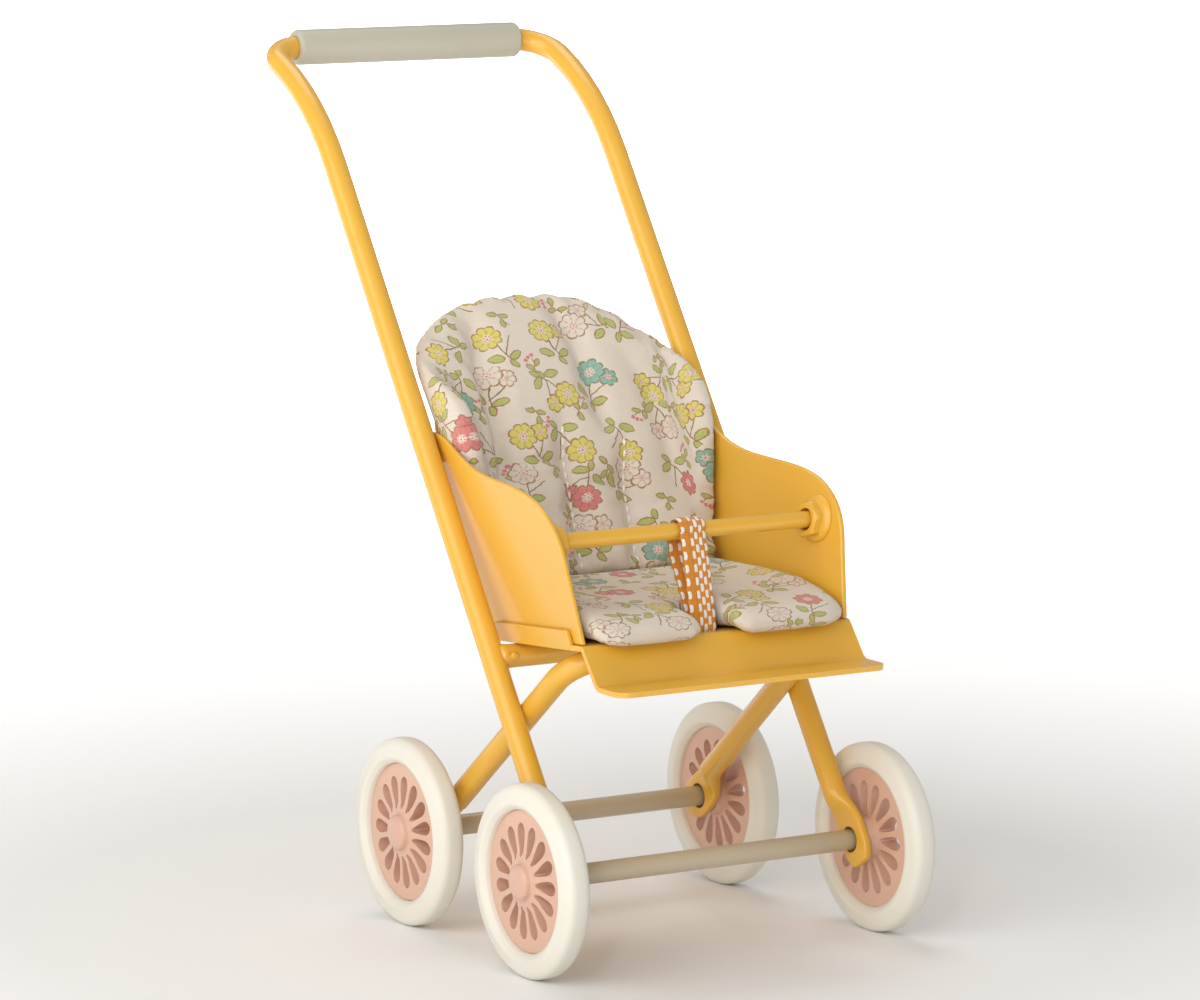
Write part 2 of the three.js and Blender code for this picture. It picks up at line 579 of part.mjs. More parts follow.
const wheelSets = [
  { place: 'front', y: -AXLE_Y, track: FRONT_TRACK },
  { place: 'rear', y: AXLE_Y, track: REAR_TRACK },
];
for (const { place, y, track } of wheelSets) {
  const wheelSet = new THREE.Group();
  wheelSet.position.set(0, y, WHEEL_RADIUS);
  const axleEnd = track / 2 + 1;
  wheelSet.add(mesh(`${place}_axle`, rod(AXLE_RADIUS, -axleEnd, axleEnd, 0, 0, 20), axleEnamel));
  for (const [name, side] of [['right', -1], ['left', 1]]) {
    const wheel = new THREE.Group();
    wheel.position.x = (side * track) / 2;
    wheel.rotation.z = (-side * Math.PI) / 2;
    wheel.add(mesh(`${place}_tyre_${name}`, tyre(), tyreRubber));
    wheel.add(mesh(`${place}_wheel_${name}`, wheelDisc(), discPlastic));
    wheelSet.add(wheel);
  }
  stroller.add(wheelSet);
}

export default stroller;
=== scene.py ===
# %% [markdown]
# # A doll stroller, finished
#
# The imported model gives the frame: every solid, its size and what it turns on. This lesson puts the
# finish round it. The steel is enamelled tube and folded sheet, so it wants round, slightly soft edges.
# The seat insert is sewn and stuffed, so its two parts are cut as flat cloth, sewn shut and filled.
# Work goes from the steel to the wheels, then the cloth, then the light.

# %% Load the frame
import math

import bmesh
import bpy
import numpy as np
from mathutils import Matrix, Vector
from mathutils.bvhtree import BVHTree


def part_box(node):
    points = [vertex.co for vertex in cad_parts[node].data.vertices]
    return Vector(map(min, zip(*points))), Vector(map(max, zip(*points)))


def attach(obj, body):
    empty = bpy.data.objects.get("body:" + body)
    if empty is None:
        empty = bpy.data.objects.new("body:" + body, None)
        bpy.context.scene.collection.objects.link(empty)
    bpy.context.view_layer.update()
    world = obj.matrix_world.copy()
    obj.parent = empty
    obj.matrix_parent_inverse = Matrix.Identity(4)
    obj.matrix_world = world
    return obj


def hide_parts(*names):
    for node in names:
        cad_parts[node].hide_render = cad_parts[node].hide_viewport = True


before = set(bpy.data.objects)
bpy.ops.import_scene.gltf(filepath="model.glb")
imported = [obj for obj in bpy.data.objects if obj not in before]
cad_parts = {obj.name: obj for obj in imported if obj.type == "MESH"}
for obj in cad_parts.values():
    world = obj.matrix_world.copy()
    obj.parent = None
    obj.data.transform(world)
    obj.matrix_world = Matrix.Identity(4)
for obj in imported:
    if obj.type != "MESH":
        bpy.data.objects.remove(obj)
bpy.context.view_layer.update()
print("solids", sorted(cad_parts))

# %% [markdown]
# Places come from the solids themselves. The stroller faces -Y and stands on Z = 0. The two axles
# give the middle of the wheelbase, and every length after that is written in millimetres.

# %% Places taken from the frame
MM = 0.001


def middle_of(node):
    low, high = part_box(node)
    return (Vector(low) + Vector(high)) / 2


def half_of(node):
    low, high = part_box(node)
    return (Vector(high) - Vector(low)) / 2


front_axle, rear_axle = middle_of("front_axle"), middle_of("rear_axle")
MIDDLE_Y = (front_axle.y + rear_axle.y) / 2
WHEEL_RADIUS = front_axle.z / MM
AXLE_Y = (rear_axle.y - front_axle.y) / 2 / MM
BAR_Y = (middle_of("guard_bar").y - MIDDLE_Y) / MM
BAR_Z = middle_of("guard_bar").z / MM
GRIP_Y = (middle_of("handle_grip").y - MIDDLE_Y) / MM
GRIP_Z = middle_of("handle_grip").z / MM
print(f"wheel radius {WHEEL_RADIUS:.1f}, axles at +-{AXLE_Y:.1f}, grip at Y {GRIP_Y:.1f} Z {GRIP_Z:.1f}")


def place(x, y, z):
    """A point in millimetres, Y from the middle of the wheelbase, as a point of the frame in metres."""
    return Vector((x * MM, y * MM + MIDDLE_Y, z * MM))


# %% [markdown]
# Every new piece is a mesh made from points and faces, then put on its body. One function does
# that for all of them, so that no piece is left without a body, a finish or the solid it replaces.

# %% Functions that make a piece
RIGHT_AND_LEFT = (("right", -1), ("left", 1))


def smooth_all(mesh):
    mesh.polygons.foreach_set("use_smooth", [True] * len(mesh.polygons))


def closed_mesh(name, points, faces):
    """A smooth mesh whose faces all look outward."""
    mesh = bpy.data.meshes.new(name)
    mesh.from_pydata([tuple(p) for p in points], [], [tuple(f) for f in faces])
    work = bmesh.new()
    work.from_mesh(mesh)
    bmesh.ops.recalc_face_normals(work, faces=work.faces)
    work.to_mesh(mesh)
    work.free()
    smooth_all(mesh)
    return mesh


def make_piece(name, shape, material, body="frame", slot=None, replaces=()):
    """A piece on its body. The slot is not used."""
    mesh = closed_mesh(name, *shape)
    piece = bpy.data.objects.new(name, mesh)
    bpy.context.scene.collection.objects.link(piece)
    mesh.materials.append(material)
    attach(piece, body)
    slot or material.name.split(".")[0]
    if replaces:
        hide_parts(*replaces)
    return piece


def add_shape(shape, more):
    """Adds the points and faces of one shape to another."""
    points, faces = shape
    faces += [tuple(len(points) + v for v in face) for face in more[1]]
    points += more[0]


def round_edges(piece, width, segments=3, angle=30):
    """Rounds every edge sharper than `angle`, by `width` millimetres, and keeps the flats flat."""
    bevel = piece.modifiers.new("rounded edges", "BEVEL")
    bevel.width, bevel.segments = width * MM, segments
    bevel.limit_method, bevel.angle_limit = "ANGLE", math.radians(angle)
    bevel.harden_normals = bevel.use_clamp_overlap = True


def cut_away(piece, shape):
    """Cuts a closed shape out of a piece and leaves a plain mesh with the piece's own material."""
    cutter = bpy.data.objects.new("cutter", closed_mesh("cutter", *shape))
    bpy.context.scene.collection.objects.link(cutter)
    boolean = piece.modifiers.new("cut", "BOOLEAN")
    boolean.operation, boolean.solver, boolean.object = "DIFFERENCE", "EXACT", cutter
    graph = bpy.context.evaluated_depsgraph_get()
    result = bpy.data.meshes.new_from_object(piece.evaluated_get(graph))
    piece.modifiers.remove(boolean)
    old, material = piece.data, piece.data.materials[0]
    result.name = old.name
    piece.data = result
    result.materials.clear()
    result.materials.append(material)
    smooth_all(result)
    for spent in (old, cutter.data):
        bpy.data.meshes.remove(spent)


# %% [markdown]
# Finishes are made of nodes. Patterns such as a printed flower are sums and comparisons of
# distances, so a small wrapper lets those be written as ordinary arithmetic.

# %% A wrapper that turns arithmetic into nodes
def srgb(red, green, blue):
    """A colour given as 0 to 255 on screen, as the linear colour that shaders take."""
    channels = [c / 255 for c in (red, green, blue)]
    return (*[c / 12.92 if c <= 0.04045 else ((c + 0.055) / 1.055) ** 2.4 for c in channels], 1.0)


class Field:
    """A number that varies over a surface."""

    def __init__(self, tree, socket):
        self.tree, self.socket = tree, socket

    def math(self, operation, *others, clamp=False):
        node = self.tree.nodes.new("ShaderNodeMath")
        node.operation, node.use_clamp = operation, clamp
        for i, value in enumerate((self, *others)):
            if isinstance(value, Field):
                self.tree.links.new(value.socket, node.inputs[i])
            else:
                node.inputs[i].default_value = value
        return Field(self.tree, node.outputs[0])

    def __add__(self, other):
        return self.math("ADD", other)

    def __sub__(self, other):
        return self.math("SUBTRACT", other)

    def __mul__(self, other):
        return self.math("MULTIPLY", other)

    def __truediv__(self, other):
        return self.math("DIVIDE", other)

    __radd__, __rmul__ = __add__, __mul__

    def __rsub__(self, other):
        return (self * -1) + other

    def size(self):
        return self.math("ABSOLUTE")

    def least(self, other):
        return self.math("MINIMUM", other)

    def most(self, other):
        return self.math("MAXIMUM", other)

    def below(self, limit, soft=0.04):
        """1 where this is under the limit, 0 where it is over, with an edge `soft` wide."""
        return ((limit - self) / soft + 0.5).math("ADD", 0.0, clamp=True)


class Recipe:
    """A material under construction: its nodes, its links and its one Principled shader."""

    def __init__(self, name, base, roughness, **constants):
        self.material = bpy.data.materials.new(name)
        self.material.use_nodes = True
        self.material.diffuse_color = base
        self.tree = self.material.node_tree
        self.shader = self.tree.nodes["Principled BSDF"]
        self.shader.inputs["Base Color"].default_value = base
        self.shader.inputs["Roughness"].default_value = roughness
        for socket, value in constants.items():
            self.shader.inputs[socket.replace("_", " ")].default_value = value

    def node(self, kind, **settings):
        node = self.tree.nodes.new(kind)
        for key, value in settings.items():
            setattr(node, key, value)
        return node

    def link(self, source, target):
        self.tree.links.new(source.socket if isinstance(source, Field) else source, target)

    def field(self, socket):
        return Field(self.tree, socket)

    def feed(self, socket, source):
        """Lets a node drive one of the shader's own sockets."""
        self.link(source, self.shader.inputs[socket])

    def object_place(self):
        return self.node("ShaderNodeTexCoord").outputs["Object"]

    def attribute(self, name):
        return self.node("ShaderNodeAttribute", attribute_name=name).outputs["Vector"]

    def vector_math(self, operation, first, second=None):
        """One step of arithmetic on places. Each input is a socket or three constants."""
        node = self.node("ShaderNodeVectorMath", operation=operation)
        for value, socket in zip((first, second), node.inputs):
            if isinstance(value, tuple):
                socket.default_value = value
            elif value is not None:
                self.link(value, socket)
        return node.outputs["Value" if operation == "LENGTH" else "Vector"]

    def split(self, place):
        """The first two numbers of a place."""
        node = self.node("ShaderNodeSeparateXYZ")
        self.link(place, node.inputs[0])
        return self.field(node.outputs["X"]), self.field(node.outputs["Y"])

    def noise(self, per_mm, detail=2.0, rough=0.5):
        """Noise from 0 to 1 with about `per_mm` blotches to the millimetre."""
        node = self.node("ShaderNodeTexNoise")
        node.inputs["Scale"].default_value = per_mm / MM
        node.inputs["Detail"].default_value = detail
        node.inputs["Roughness"].default_value = rough
        self.link(self.object_place(), node.inputs["Vector"])
        return self.field(node.outputs["Fac"])

    def blend(self, amount, first, second):
        """The first colour where amount is 0 and the second where it is 1."""
        mix = self.node("ShaderNodeMix", data_type="RGBA")
        self.link(amount, mix.inputs[0])
        for colour, socket in ((first, mix.inputs[6]), (second, mix.inputs[7])):
            if isinstance(colour, tuple):
                socket.default_value = colour
            else:
                self.link(colour, socket)
        return mix.outputs[2]

    def bump(self, height, depth_mm, after=None):
        """Raises the surface by height (0 to 1) times depth_mm."""
        node = self.node("ShaderNodeBump")
        node.inputs["Strength"].default_value = 1.0
        node.inputs["Distance"].default_value = depth_mm * MM
        self.link(height, node.inputs["Height"])
        if after is not None:
            self.link(after, node.inputs["Normal"])
        return node.outputs["Normal"]


# %% [markdown]
# The steel is dipped or sprayed in a thick yellow enamel. It is glossy, but not a mirror: the coat
# pools into a faint orange peel, and is a touch paler where it is thin. A clear coat over a
# slightly rougher colour gives both the tight highlight and the soft one.

# %% Yellow enamel
def enamel_recipe(name, base, thin, roughness):
    recipe = Recipe(name, base, roughness, Coat_Weight=0.3, Coat_Roughness=0.08)
    flow = recipe.noise(0.06, 3).math("MULTIPLY", 0.8, clamp=True)
    scuffs, peel = recipe.noise(0.9, 4, 0.65), recipe.noise(0.45, 2)
    recipe.feed("Base Color", recipe.blend(flow, base, thin))
    recipe.feed("Roughness", scuffs * 0.16 + (roughness - 0.06))
    recipe.feed("Normal", recipe.bump(peel, 0.018))
    return recipe.material


yellow_enamel = enamel_recipe("yellow_enamel", srgb(222, 168, 52), srgb(227, 176, 66), 0.34)
axle_enamel = enamel_recipe("axle_enamel", srgb(190, 177, 150), srgb(199, 187, 162), 0.36)
print("enamels", yellow_enamel.name, axle_enamel.name)

# %% [markdown]
# The frame is bent steel tube. A circle is carried along a path of straight runs and round bends,
# and near the axle the circle is squeezed to a flat: the real tube ends are pressed in a die,
# so the round part runs into the flat ear over about a tube's width. The ear moves outboard.

# %% A path with round bends
def bent_path(corners, radii, degrees_a_step=5):
    """Points and directions along straight runs joined by arcs of the given radii."""
    corners = [Vector(c) for c in corners]
    points = [corners[0]]
    for before, corner, after, radius in zip(corners, corners[1:], corners[2:], radii):
        into, out = (corner - before).normalized(), (after - corner).normalized()
        turn = into.angle(out)
        start = corner - into * radius * math.tan(turn / 2)
        side = (out - into * out.dot(into)).normalized()
        steps = max(4, round(math.degrees(turn) / degrees_a_step))
        for k in range(steps + 1):
            angle = turn * k / steps
            points.append(start + into * radius * math.sin(angle) + side * radius * (1 - math.cos(angle)))
    points.append(corners[-1])
    return points


def directions_along(points):
    last = len(points) - 1
    ways = []
    for i in range(last + 1):
        before = (points[i] - points[max(i - 1, 0)]).normalized()
        after = (points[min(i + 1, last)] - points[i]).normalized()
        ways.append((before + after).normalized())
    return ways


def frames_along(points, across):
    """At each point: the direction, and two square directions that turn as little as they can."""
    frames = []
    for way in directions_along(points):
        across = (across - way * across.dot(way)).normalized()
        frames.append((way, across, way.cross(across)))
    return frames


# %% A tube swept along a path
SIDES = 36


def ring(centre, across, out, half_across, half_out, squareness=2.0, sides=SIDES):
    points = []
    for k in range(sides):
        c, s = math.cos(2 * math.pi * k / sides), math.sin(2 * math.pi * k / sides)
        power = 2 / squareness
        points.append(centre + across * half_across * math.copysign(abs(c) ** power, c)
                      + out * half_out * math.copysign(abs(s) ** power, s))
    return points


def turned(profile, centre, sides=SIDES, outward=1):
    """Rings for a profile (radius, along X) in millimetres, turned about the X axis through centre."""
    return [ring(centre + Vector((outward * along * MM, 0, 0)), Vector((0, 1, 0)), Vector((0, 0, 1)),
                 radius * MM, radius * MM, sides=sides) for radius, along in profile]


def arc(centre, radius, from_deg, to_deg, steps):
    """Points of a circle in the plane of a profile or an outline."""
    return [(centre[0] + radius * math.cos(math.radians(a)), centre[1] + radius * math.sin(math.radians(a)))
            for a in np.linspace(from_deg, to_deg, steps + 1)]


def skin(rings, closed=False):
    """Faces that join each ring of points to the next, with the two ends filled."""
    sides = len(rings[0])
    points = [p for r in rings for p in r]
    faces = []
    for i in range(len(rings) - (0 if closed else 1)):
        a, b = i * sides, ((i + 1) % len(rings)) * sides
        faces += [(a + k, a + (k + 1) % sides, b + (k + 1) % sides, b + k) for k in range(sides)]
    if not closed:
        faces.append(tuple(reversed(range(sides))))
        faces.append(tuple(range((len(rings) - 1) * sides, len(rings) * sides)))
    return points, faces


# %% [markdown]
# One ear is described by a short table: how far up the tube from the axle, how broad and how thick
# the tube is there, how square its section is, and how far it has moved outboard.

# %% The pressed ear
TUBE = 2.5
ROUND_FROM = 11.5  # the tube is round from here up
EAR_PLAY = 0.55  # the hole is this much wider than the axle, all round
EAR_SECTIONS = (
    # up the tube, half breadth, half thickness, squareness, share of the way outboard
    (-5.75, 2.15, 0.72, 3.0, 1.0),
    (-5.55, 2.6, 0.95, 4.0, 1.0),
    (-4.2, 3.6, 1.0, 5.0, 1.0),
    (-2.6, 4.35, 1.0, 5.0, 1.0),
    (0.0, 4.5, 1.0, 5.0, 1.0),
    (3.2, 4.4, 1.0, 5.0, 1.0),
    (5.0, 3.95, 1.02, 4.5, 1.0),
    (6.0, 3.55, 1.2, 3.6, 0.93),
    (6.9, 3.2, 1.55, 2.9, 0.72),
    (7.9, 2.85, 2.0, 2.4, 0.42),
    (8.9, 2.6, 2.35, 2.1, 0.15),
    (10.0, 2.5, 2.5, 2.0, 0.0),
)


def ear_rings(hole, up, across, outboard, tube_x, ear_x, drift):
    """Rings for one pressed end, from its tip to the round tube."""
    rings = []
    for along, breadth, thickness, squareness, moved in EAR_SECTIONS:
        centre = hole + up * along - across * drift * (1 - moved * 0.6)
        centre.x = tube_x + (ear_x - tube_x) * moved
        rings.append(ring(centre * MM, across, outboard, breadth * MM, thickness * MM, squareness))
    return rings


def axle_holes(piece, y, ear_x):
    """Drills both ears of a frame for the axle."""
    radius = half_of("front_axle").z / MM + EAR_PLAY
    for x in (-ear_x, ear_x):
        cut_away(piece, skin(turned([(radius, -6), (radius, 6)], place(x, y, WHEEL_RADIUS))))


def shifted(points):
    return [Vector((p.x, p.y + MIDDLE_Y, p.z)) for p in points]


def tube_frame(name, corners, radii, axle_y, ear_x, node):
    """A bent tube with a pressed ear on each end. The corners run from one axle to the other."""
    points = bent_path(corners, radii)
    first_way = (points[1] - points[0]).normalized()
    across = Vector((0, first_way.z, -first_way.y)).normalized()
    frames = frames_along(points, across)
    ears = []
    for i, turn_about in ((0, 1), (-1, -1)):
        way, square, _ = frames[i]
        up = way * turn_about
        hole = Vector((points[i].x, axle_y, WHEEL_RADIUS))
        foot = points[i] + up * (hole - points[i]).dot(up)
        drift = (hole - foot).dot(square)
        tips = ear_rings(foot + square * drift, up, square, way.cross(square), points[i].x,
                         math.copysign(ear_x, points[i].x), drift)
        ears.append(tips[::turn_about])
    start_at, end_at = points[0] + frames[0][0] * ROUND_FROM, points[-1] - frames[-1][0] * ROUND_FROM
    middle = [ring(p * MM, f[1], f[2], TUBE * MM, TUBE * MM)
              for p, f in zip([start_at, *points[1:-1], end_at], frames)]
    whole = [shifted(r) for r in ears[0] + middle + ears[1]]
    piece = make_piece(name, skin(whole), yellow_enamel, replaces=[node])
    axle_holes(piece, axle_y, ear_x)
    round_edges(piece, 0.18, 2, 40)
    print(name, len(piece.data.vertices), "points")


# %% [markdown]
# The push handle is one tube: up both sides, back in a long bend, and across under the grip.
# The legs are a second tube, bent square under the front of the seat, that leans on the first
# from inside. Their corners are the same as those of the solids.

# %% The handle tube
HANDLE_X = 35
HANDLE_FOOT_Y = -29.4
HANDLE_PITCH = math.radians(55.4)
BEND_UP_SLOPE = 184
BEND_RADIUS = 58
CORNER_RADIUS = 8
FRONT_TRACK = 2 * abs(middle_of("front_tyre_left").x) / MM
REAR_TRACK = 2 * abs(middle_of("rear_tyre_left").x) / MM
EAR_TO_WHEEL = 5.3


def up_handle(distance, forward=0.0):
    """Y and Z of a point up the slope of the handle tubes, and square to it towards the front."""
    return (HANDLE_FOOT_Y + math.cos(HANDLE_PITCH) * distance - math.sin(HANDLE_PITCH) * forward,
            WHEEL_RADIUS + math.sin(HANDLE_PITCH) * distance + math.cos(HANDLE_PITCH) * forward)


handle_side = [(HANDLE_X, *up_handle(0)), (HANDLE_X, *up_handle(BEND_UP_SLOPE)), (HANDLE_X, GRIP_Y, GRIP_Z)]
handle_corners = [(-x, y, z) for x, y, z in handle_side] + handle_side[::-1]
handle_radii = [BEND_RADIUS, CORNER_RADIUS, CORNER_RADIUS, BEND_RADIUS]
tube_frame("handle_tube", handle_corners, handle_radii, -AXLE_Y, FRONT_TRACK / 2 - EAR_TO_WHEEL,
           "handle_frame")

# %% The leg tube
LEG_FOOT = (31.9, 29.5, WHEEL_RADIUS)
LEG_TOP = (29.8, -24.4, 63.4)
leg_side = [LEG_FOOT, LEG_TOP]
leg_corners = [(-x, y, z) for x, y, z in leg_side] + leg_side[::-1]
tube_frame("leg_tube", leg_corners, [CORNER_RADIUS, CORNER_RADIUS], AXLE_Y, REAR_TRACK / 2 - EAR_TO_WHEEL,
           "leg_frame")

# %% [markdown]
# The cross tube is cut from the same stock and welded between the handle tubes. Its ends swell
# where the weld runs out, and a small dimple near each end is left from the jig that held it.

# %% The cross tube
cross = middle_of("cross_tube")
CROSS_PROFILE = [(2.6, 34), (2.64, 32.6), (2.58, 32.1), (TUBE, 31.3), (TUBE, 0.0)]
DIMPLE_X = 31.2
cross_profile = CROSS_PROFILE + [(r, -x) for r, x in CROSS_PROFILE[-2::-1]]
make_piece("cross_tube_welded", skin(turned(cross_profile, Vector((0, cross.y, cross.z)))), yellow_enamel,
           replaces=["cross_tube"])


def dome(centre, way, radius, height, rings=6, sides=20):
    """A low round bump that stands on a surface."""
    way = way.normalized()
    across = way.orthogonal().normalized()
    loops = []
    for k in range(rings + 1):
        angle = math.pi / 2 * k / rings
        wide = max(radius * math.cos(angle), 1e-6)
        loops.append(ring(centre + way * (height * math.sin(angle)), across, way.cross(across), wide, wide,
                          sides=sides))
    return skin(loops)


for name, side in RIGHT_AND_LEFT:
    spot = Vector((side * DIMPLE_X * MM, cross.y - (TUBE - 0.12) * MM, cross.z + 0.2 * MM))
    make_piece(f"jig_dimple_{name}", dome(spot, Vector((0, -0.35, -0.1)), 1.05 * MM, 0.5 * MM), yellow_enamel)

# %% [markdown]
# The seat is folded from sheet a little over a millimetre thick. Cut sheet keeps a crisp line,
# and enamel rounds it slightly, so each plate is an outline with thickness whose edges are
# rounded by a bevel. The side panels lean out as they rise and open towards the front.

# %% A plate of sheet steel
SHEET = 1.1
SHEET_ROUND = 0.42
SHEET_GAP = 0.25  # between two sheets that meet
PANEL_LEAN, PANEL_TOE = 0.139, -0.079
PANEL_X = 31.74 - 67 * PANEL_LEAN + 30 * PANEL_TOE


def panel_x(y, z):
    """How far out the outer face of a side panel is."""
    return PANEL_X + PANEL_LEAN * z + PANEL_TOE * y


def plate(outline, put, thickness):
    """Points and faces of a plate: put(a, b, depth) places each outline point at each face."""
    count = len(outline)
    points = [put(a, b, depth) for depth in (0, thickness) for a, b in outline]
    faces = [tuple(range(count)), tuple(reversed(range(count, 2 * count)))]
    faces += [(k, k + count, (k + 1) % count + count, (k + 1) % count) for k in range(count)]
    return points, faces


def curve_through(start, control_a, control_b, end, steps=10):
    """Points along one Bezier curve, without its start."""
    points = []
    for k in range(1, steps + 1):
        t = k / steps
        weights = ((1 - t) ** 3, 3 * t * (1 - t) ** 2, 3 * t * t * (1 - t), t ** 3)
        corners = (start, control_a, control_b, end)
        points.append(tuple(sum(w * p[i] for w, p in zip(weights, corners)) for i in (0, 1)))
    return points


# %% Side panels
PAN_Z, PAN_RISE = 63.8, -0.096
BACK_OFFSET = -6
PANEL_FOOT, PANEL_HEAD = 57.2, 107.5  # up the slope of the handle tubes
PANEL_FRONT_Y = -32.1


def pan_under(y):
    return PAN_Z + PAN_RISE * y


def pan_top(y):
    return pan_under(y) + SHEET


rear_foot, rear_head = [up_handle(distance, BACK_OFFSET - 0.8) for distance in (PANEL_FOOT, PANEL_HEAD)]
PANEL_CURVES = (
    ((26.5, 104.4), (20, 103.2), (17, 99.2), (6, 98.3)),
    ((6, 98.3), (-4, 97.5), (-11, 98), (-18, 95.6)),
    ((-18, 95.6), (-25, 92.6), (-27.6, 88.5), (-28.7, 82)),
)
panel_outline = [(rear_foot[0], pan_top(rear_foot[0])), rear_head, PANEL_CURVES[0][0]]
for curve in PANEL_CURVES:
    panel_outline += curve_through(*curve)
panel_outline.append((PANEL_FRONT_Y, pan_top(PANEL_FRONT_Y)))


def on_panel(side, inset=0.0):
    return lambda y, z, depth: place(side * (panel_x(y, z) - inset - depth), y, z)


for name, side in RIGHT_AND_LEFT:
    panel = make_piece(f"pressed_panel_{name}", plate(panel_outline, on_panel(side), SHEET), yellow_enamel,
                       replaces=[f"side_panel_{name}"])
    round_edges(panel, SHEET_ROUND, 4)
print("side panels", len(panel_outline), "outline points")

# %% [markdown]
# The pan, the sloping footrest and the flat lip are one strip, bent twice. The strip is drawn as
# rows of points from back to front, each as wide as the sheet is there, and then made solid. The
# slot for the strap is left out of the rows, and a flange stands up outside each panel.

# %% The folded pan
PAN_REAR = 7.4
FLANGE = 0.9
FLANGE_HEIGHT = 4
FLANGE_FRONT_Y = -29
FOLD = (-32.5, 67.93)
LOW = (-38.4, 60.5)
LIP_Y = -47.3
LIP_HALF = 32.2
LIP_ROUND = 3
SLOT = {"middle": -1, "front": -29.6, "rear": -26.8, "half": 3.9}


def pan_half(y):
    """Half the width of the sheet at Y."""
    rear_width = panel_x(y, pan_under(y)) + SHEET_GAP + FLANGE
    if y >= FLANGE_FRONT_Y:
        return rear_width
    if y >= FOLD[0]:
        share = (FLANGE_FRONT_Y - y) / (FLANGE_FRONT_Y - FOLD[0])
        return rear_width * (1 - share) + LIP_HALF * share
    into_corner = max(0.0, LIP_Y + LIP_ROUND - y)
    return LIP_HALF - LIP_ROUND + math.sqrt(max(LIP_ROUND ** 2 - into_corner ** 2, 0.0))


pan_corners = [(0, PAN_REAR, pan_top(PAN_REAR)), (0, *FOLD), (0, *LOW), (0, LIP_Y + 0.01, LOW[1])]
pan_path = bent_path(pan_corners, [1.4, 2.2], 9)
pan_rows = [(p.y, p.z) for p in pan_path[:-1]]
pan_rows += [(y, pan_top(y)) for y in (0, -10, -20, SLOT["rear"], SLOT["front"])]
pan_rows += [(LIP_Y + LIP_ROUND * (1 - math.sin(math.pi / 2 * k / 10)), LOW[1]) for k in range(11)]
pan_rows.sort(key=lambda row: -row[0])
slot_sides = [SLOT["middle"] + side * SLOT["half"] for side in (-1, 1)]
pan_points, pan_faces = [], []
for y, z in pan_rows:
    half = pan_half(y)
    row = [-half, -0.96 * half, -0.6 * half, *slot_sides, 0.6 * half, 0.96 * half, half]
    pan_points += [place(x, y, z) for x in row]
wide = len(row)
for i, (low_row, high_row) in enumerate(zip(pan_rows, pan_rows[1:])):
    in_slot = low_row[0] <= SLOT["rear"] + 1e-6 and high_row[0] >= SLOT["front"] - 1e-6
    for k in range(wide - 1):
        if not (in_slot and row[k:k + 2] == slot_sides):
            a = i * wide + k
            pan_faces.append((a, a + 1, a + 1 + wide, a + wide))
folded_pan = make_piece("folded_pan", (pan_points, pan_faces), yellow_enamel, replaces=["seat_pan"])
if folded_pan.data.polygons[0].normal.z < 0:
    folded_pan.data.flip_normals()
thickness = folded_pan.modifiers.new("sheet", "SOLIDIFY")
thickness.thickness, thickness.offset, thickness.use_even_offset = SHEET * MM, -1, True
round_edges(folded_pan, SHEET_ROUND, 4, 50)

flange_outline = [(PAN_REAR, pan_under(PAN_REAR) - 0.02), (PAN_REAR, pan_under(PAN_REAR) + FLANGE_HEIGHT),
                  (FLANGE_FRONT_Y + 1.6, pan_under(FLANGE_FRONT_Y) + FLANGE_HEIGHT),
                  (FLANGE_FRONT_Y, pan_under(FLANGE_FRONT_Y) - 0.02)]
for name, side in RIGHT_AND_LEFT:
    flange = make_piece(f"pan_flange_{name}",
                        plate(flange_outline, on_panel(side, -SHEET_GAP - FLANGE), FLANGE + 0.2), yellow_enamel)
    round_edges(flange, 0.32, 3)
print("pan rows", len(pan_rows))

# %% [markdown]
# The back plate stands behind the cushion between the handle tubes, with an arched head. It is a
# plain flat plate, so it shows only from behind.

# %% The back plate
BACK_FOOT = 58.2
BACK_HEAD = (103, 21.5)
HEAD_NARROWER = 1.8  # on each side, to clear the panels' top edge


def across_seat(distance, forward):
    """Half the clear width between the side panels, up the slope."""
    y, z = up_handle(distance, forward)
    return panel_x(y, z) - SHEET - SHEET_GAP


def up_slope(x, distance, forward):
    return place(x, *up_handle(distance, forward))


head_half = across_seat(BACK_HEAD[0], BACK_OFFSET) - HEAD_NARROWER
foot_half = across_seat(BACK_FOOT, BACK_OFFSET)
back_outline = [(-foot_half, BACK_FOOT), (foot_half, BACK_FOOT)]
back_outline += [(head_half * math.cos(a), BACK_HEAD[0] + BACK_HEAD[1] * math.sin(a))
                 for a in np.linspace(0, math.pi, 41)]
back_sheet = make_piece("arched_back_sheet",
                        plate(back_outline, lambda x, d, depth: up_slope(x, d, BACK_OFFSET + depth), SHEET),
                        yellow_enamel, replaces=["back_plate"])
round_edges(back_sheet, SHEET_ROUND, 4)

# %% [markdown]
# Where the bucket touches the handle tubes it is held by short welds. A weld bead is a row of
# overlapping puddles, so it is a thin rod whose radius swells and shrinks along its length.

# %% Weld beads
PUDDLE = 0.45  # one puddle of weld to this many millimetres
WELD_FROM, WELD_TO, WELD_BACK, WELD_RADIUS = 96, 104, -1.2, 0.62
WELD_X = (32.35, 32.6)  # it follows the panel outwards


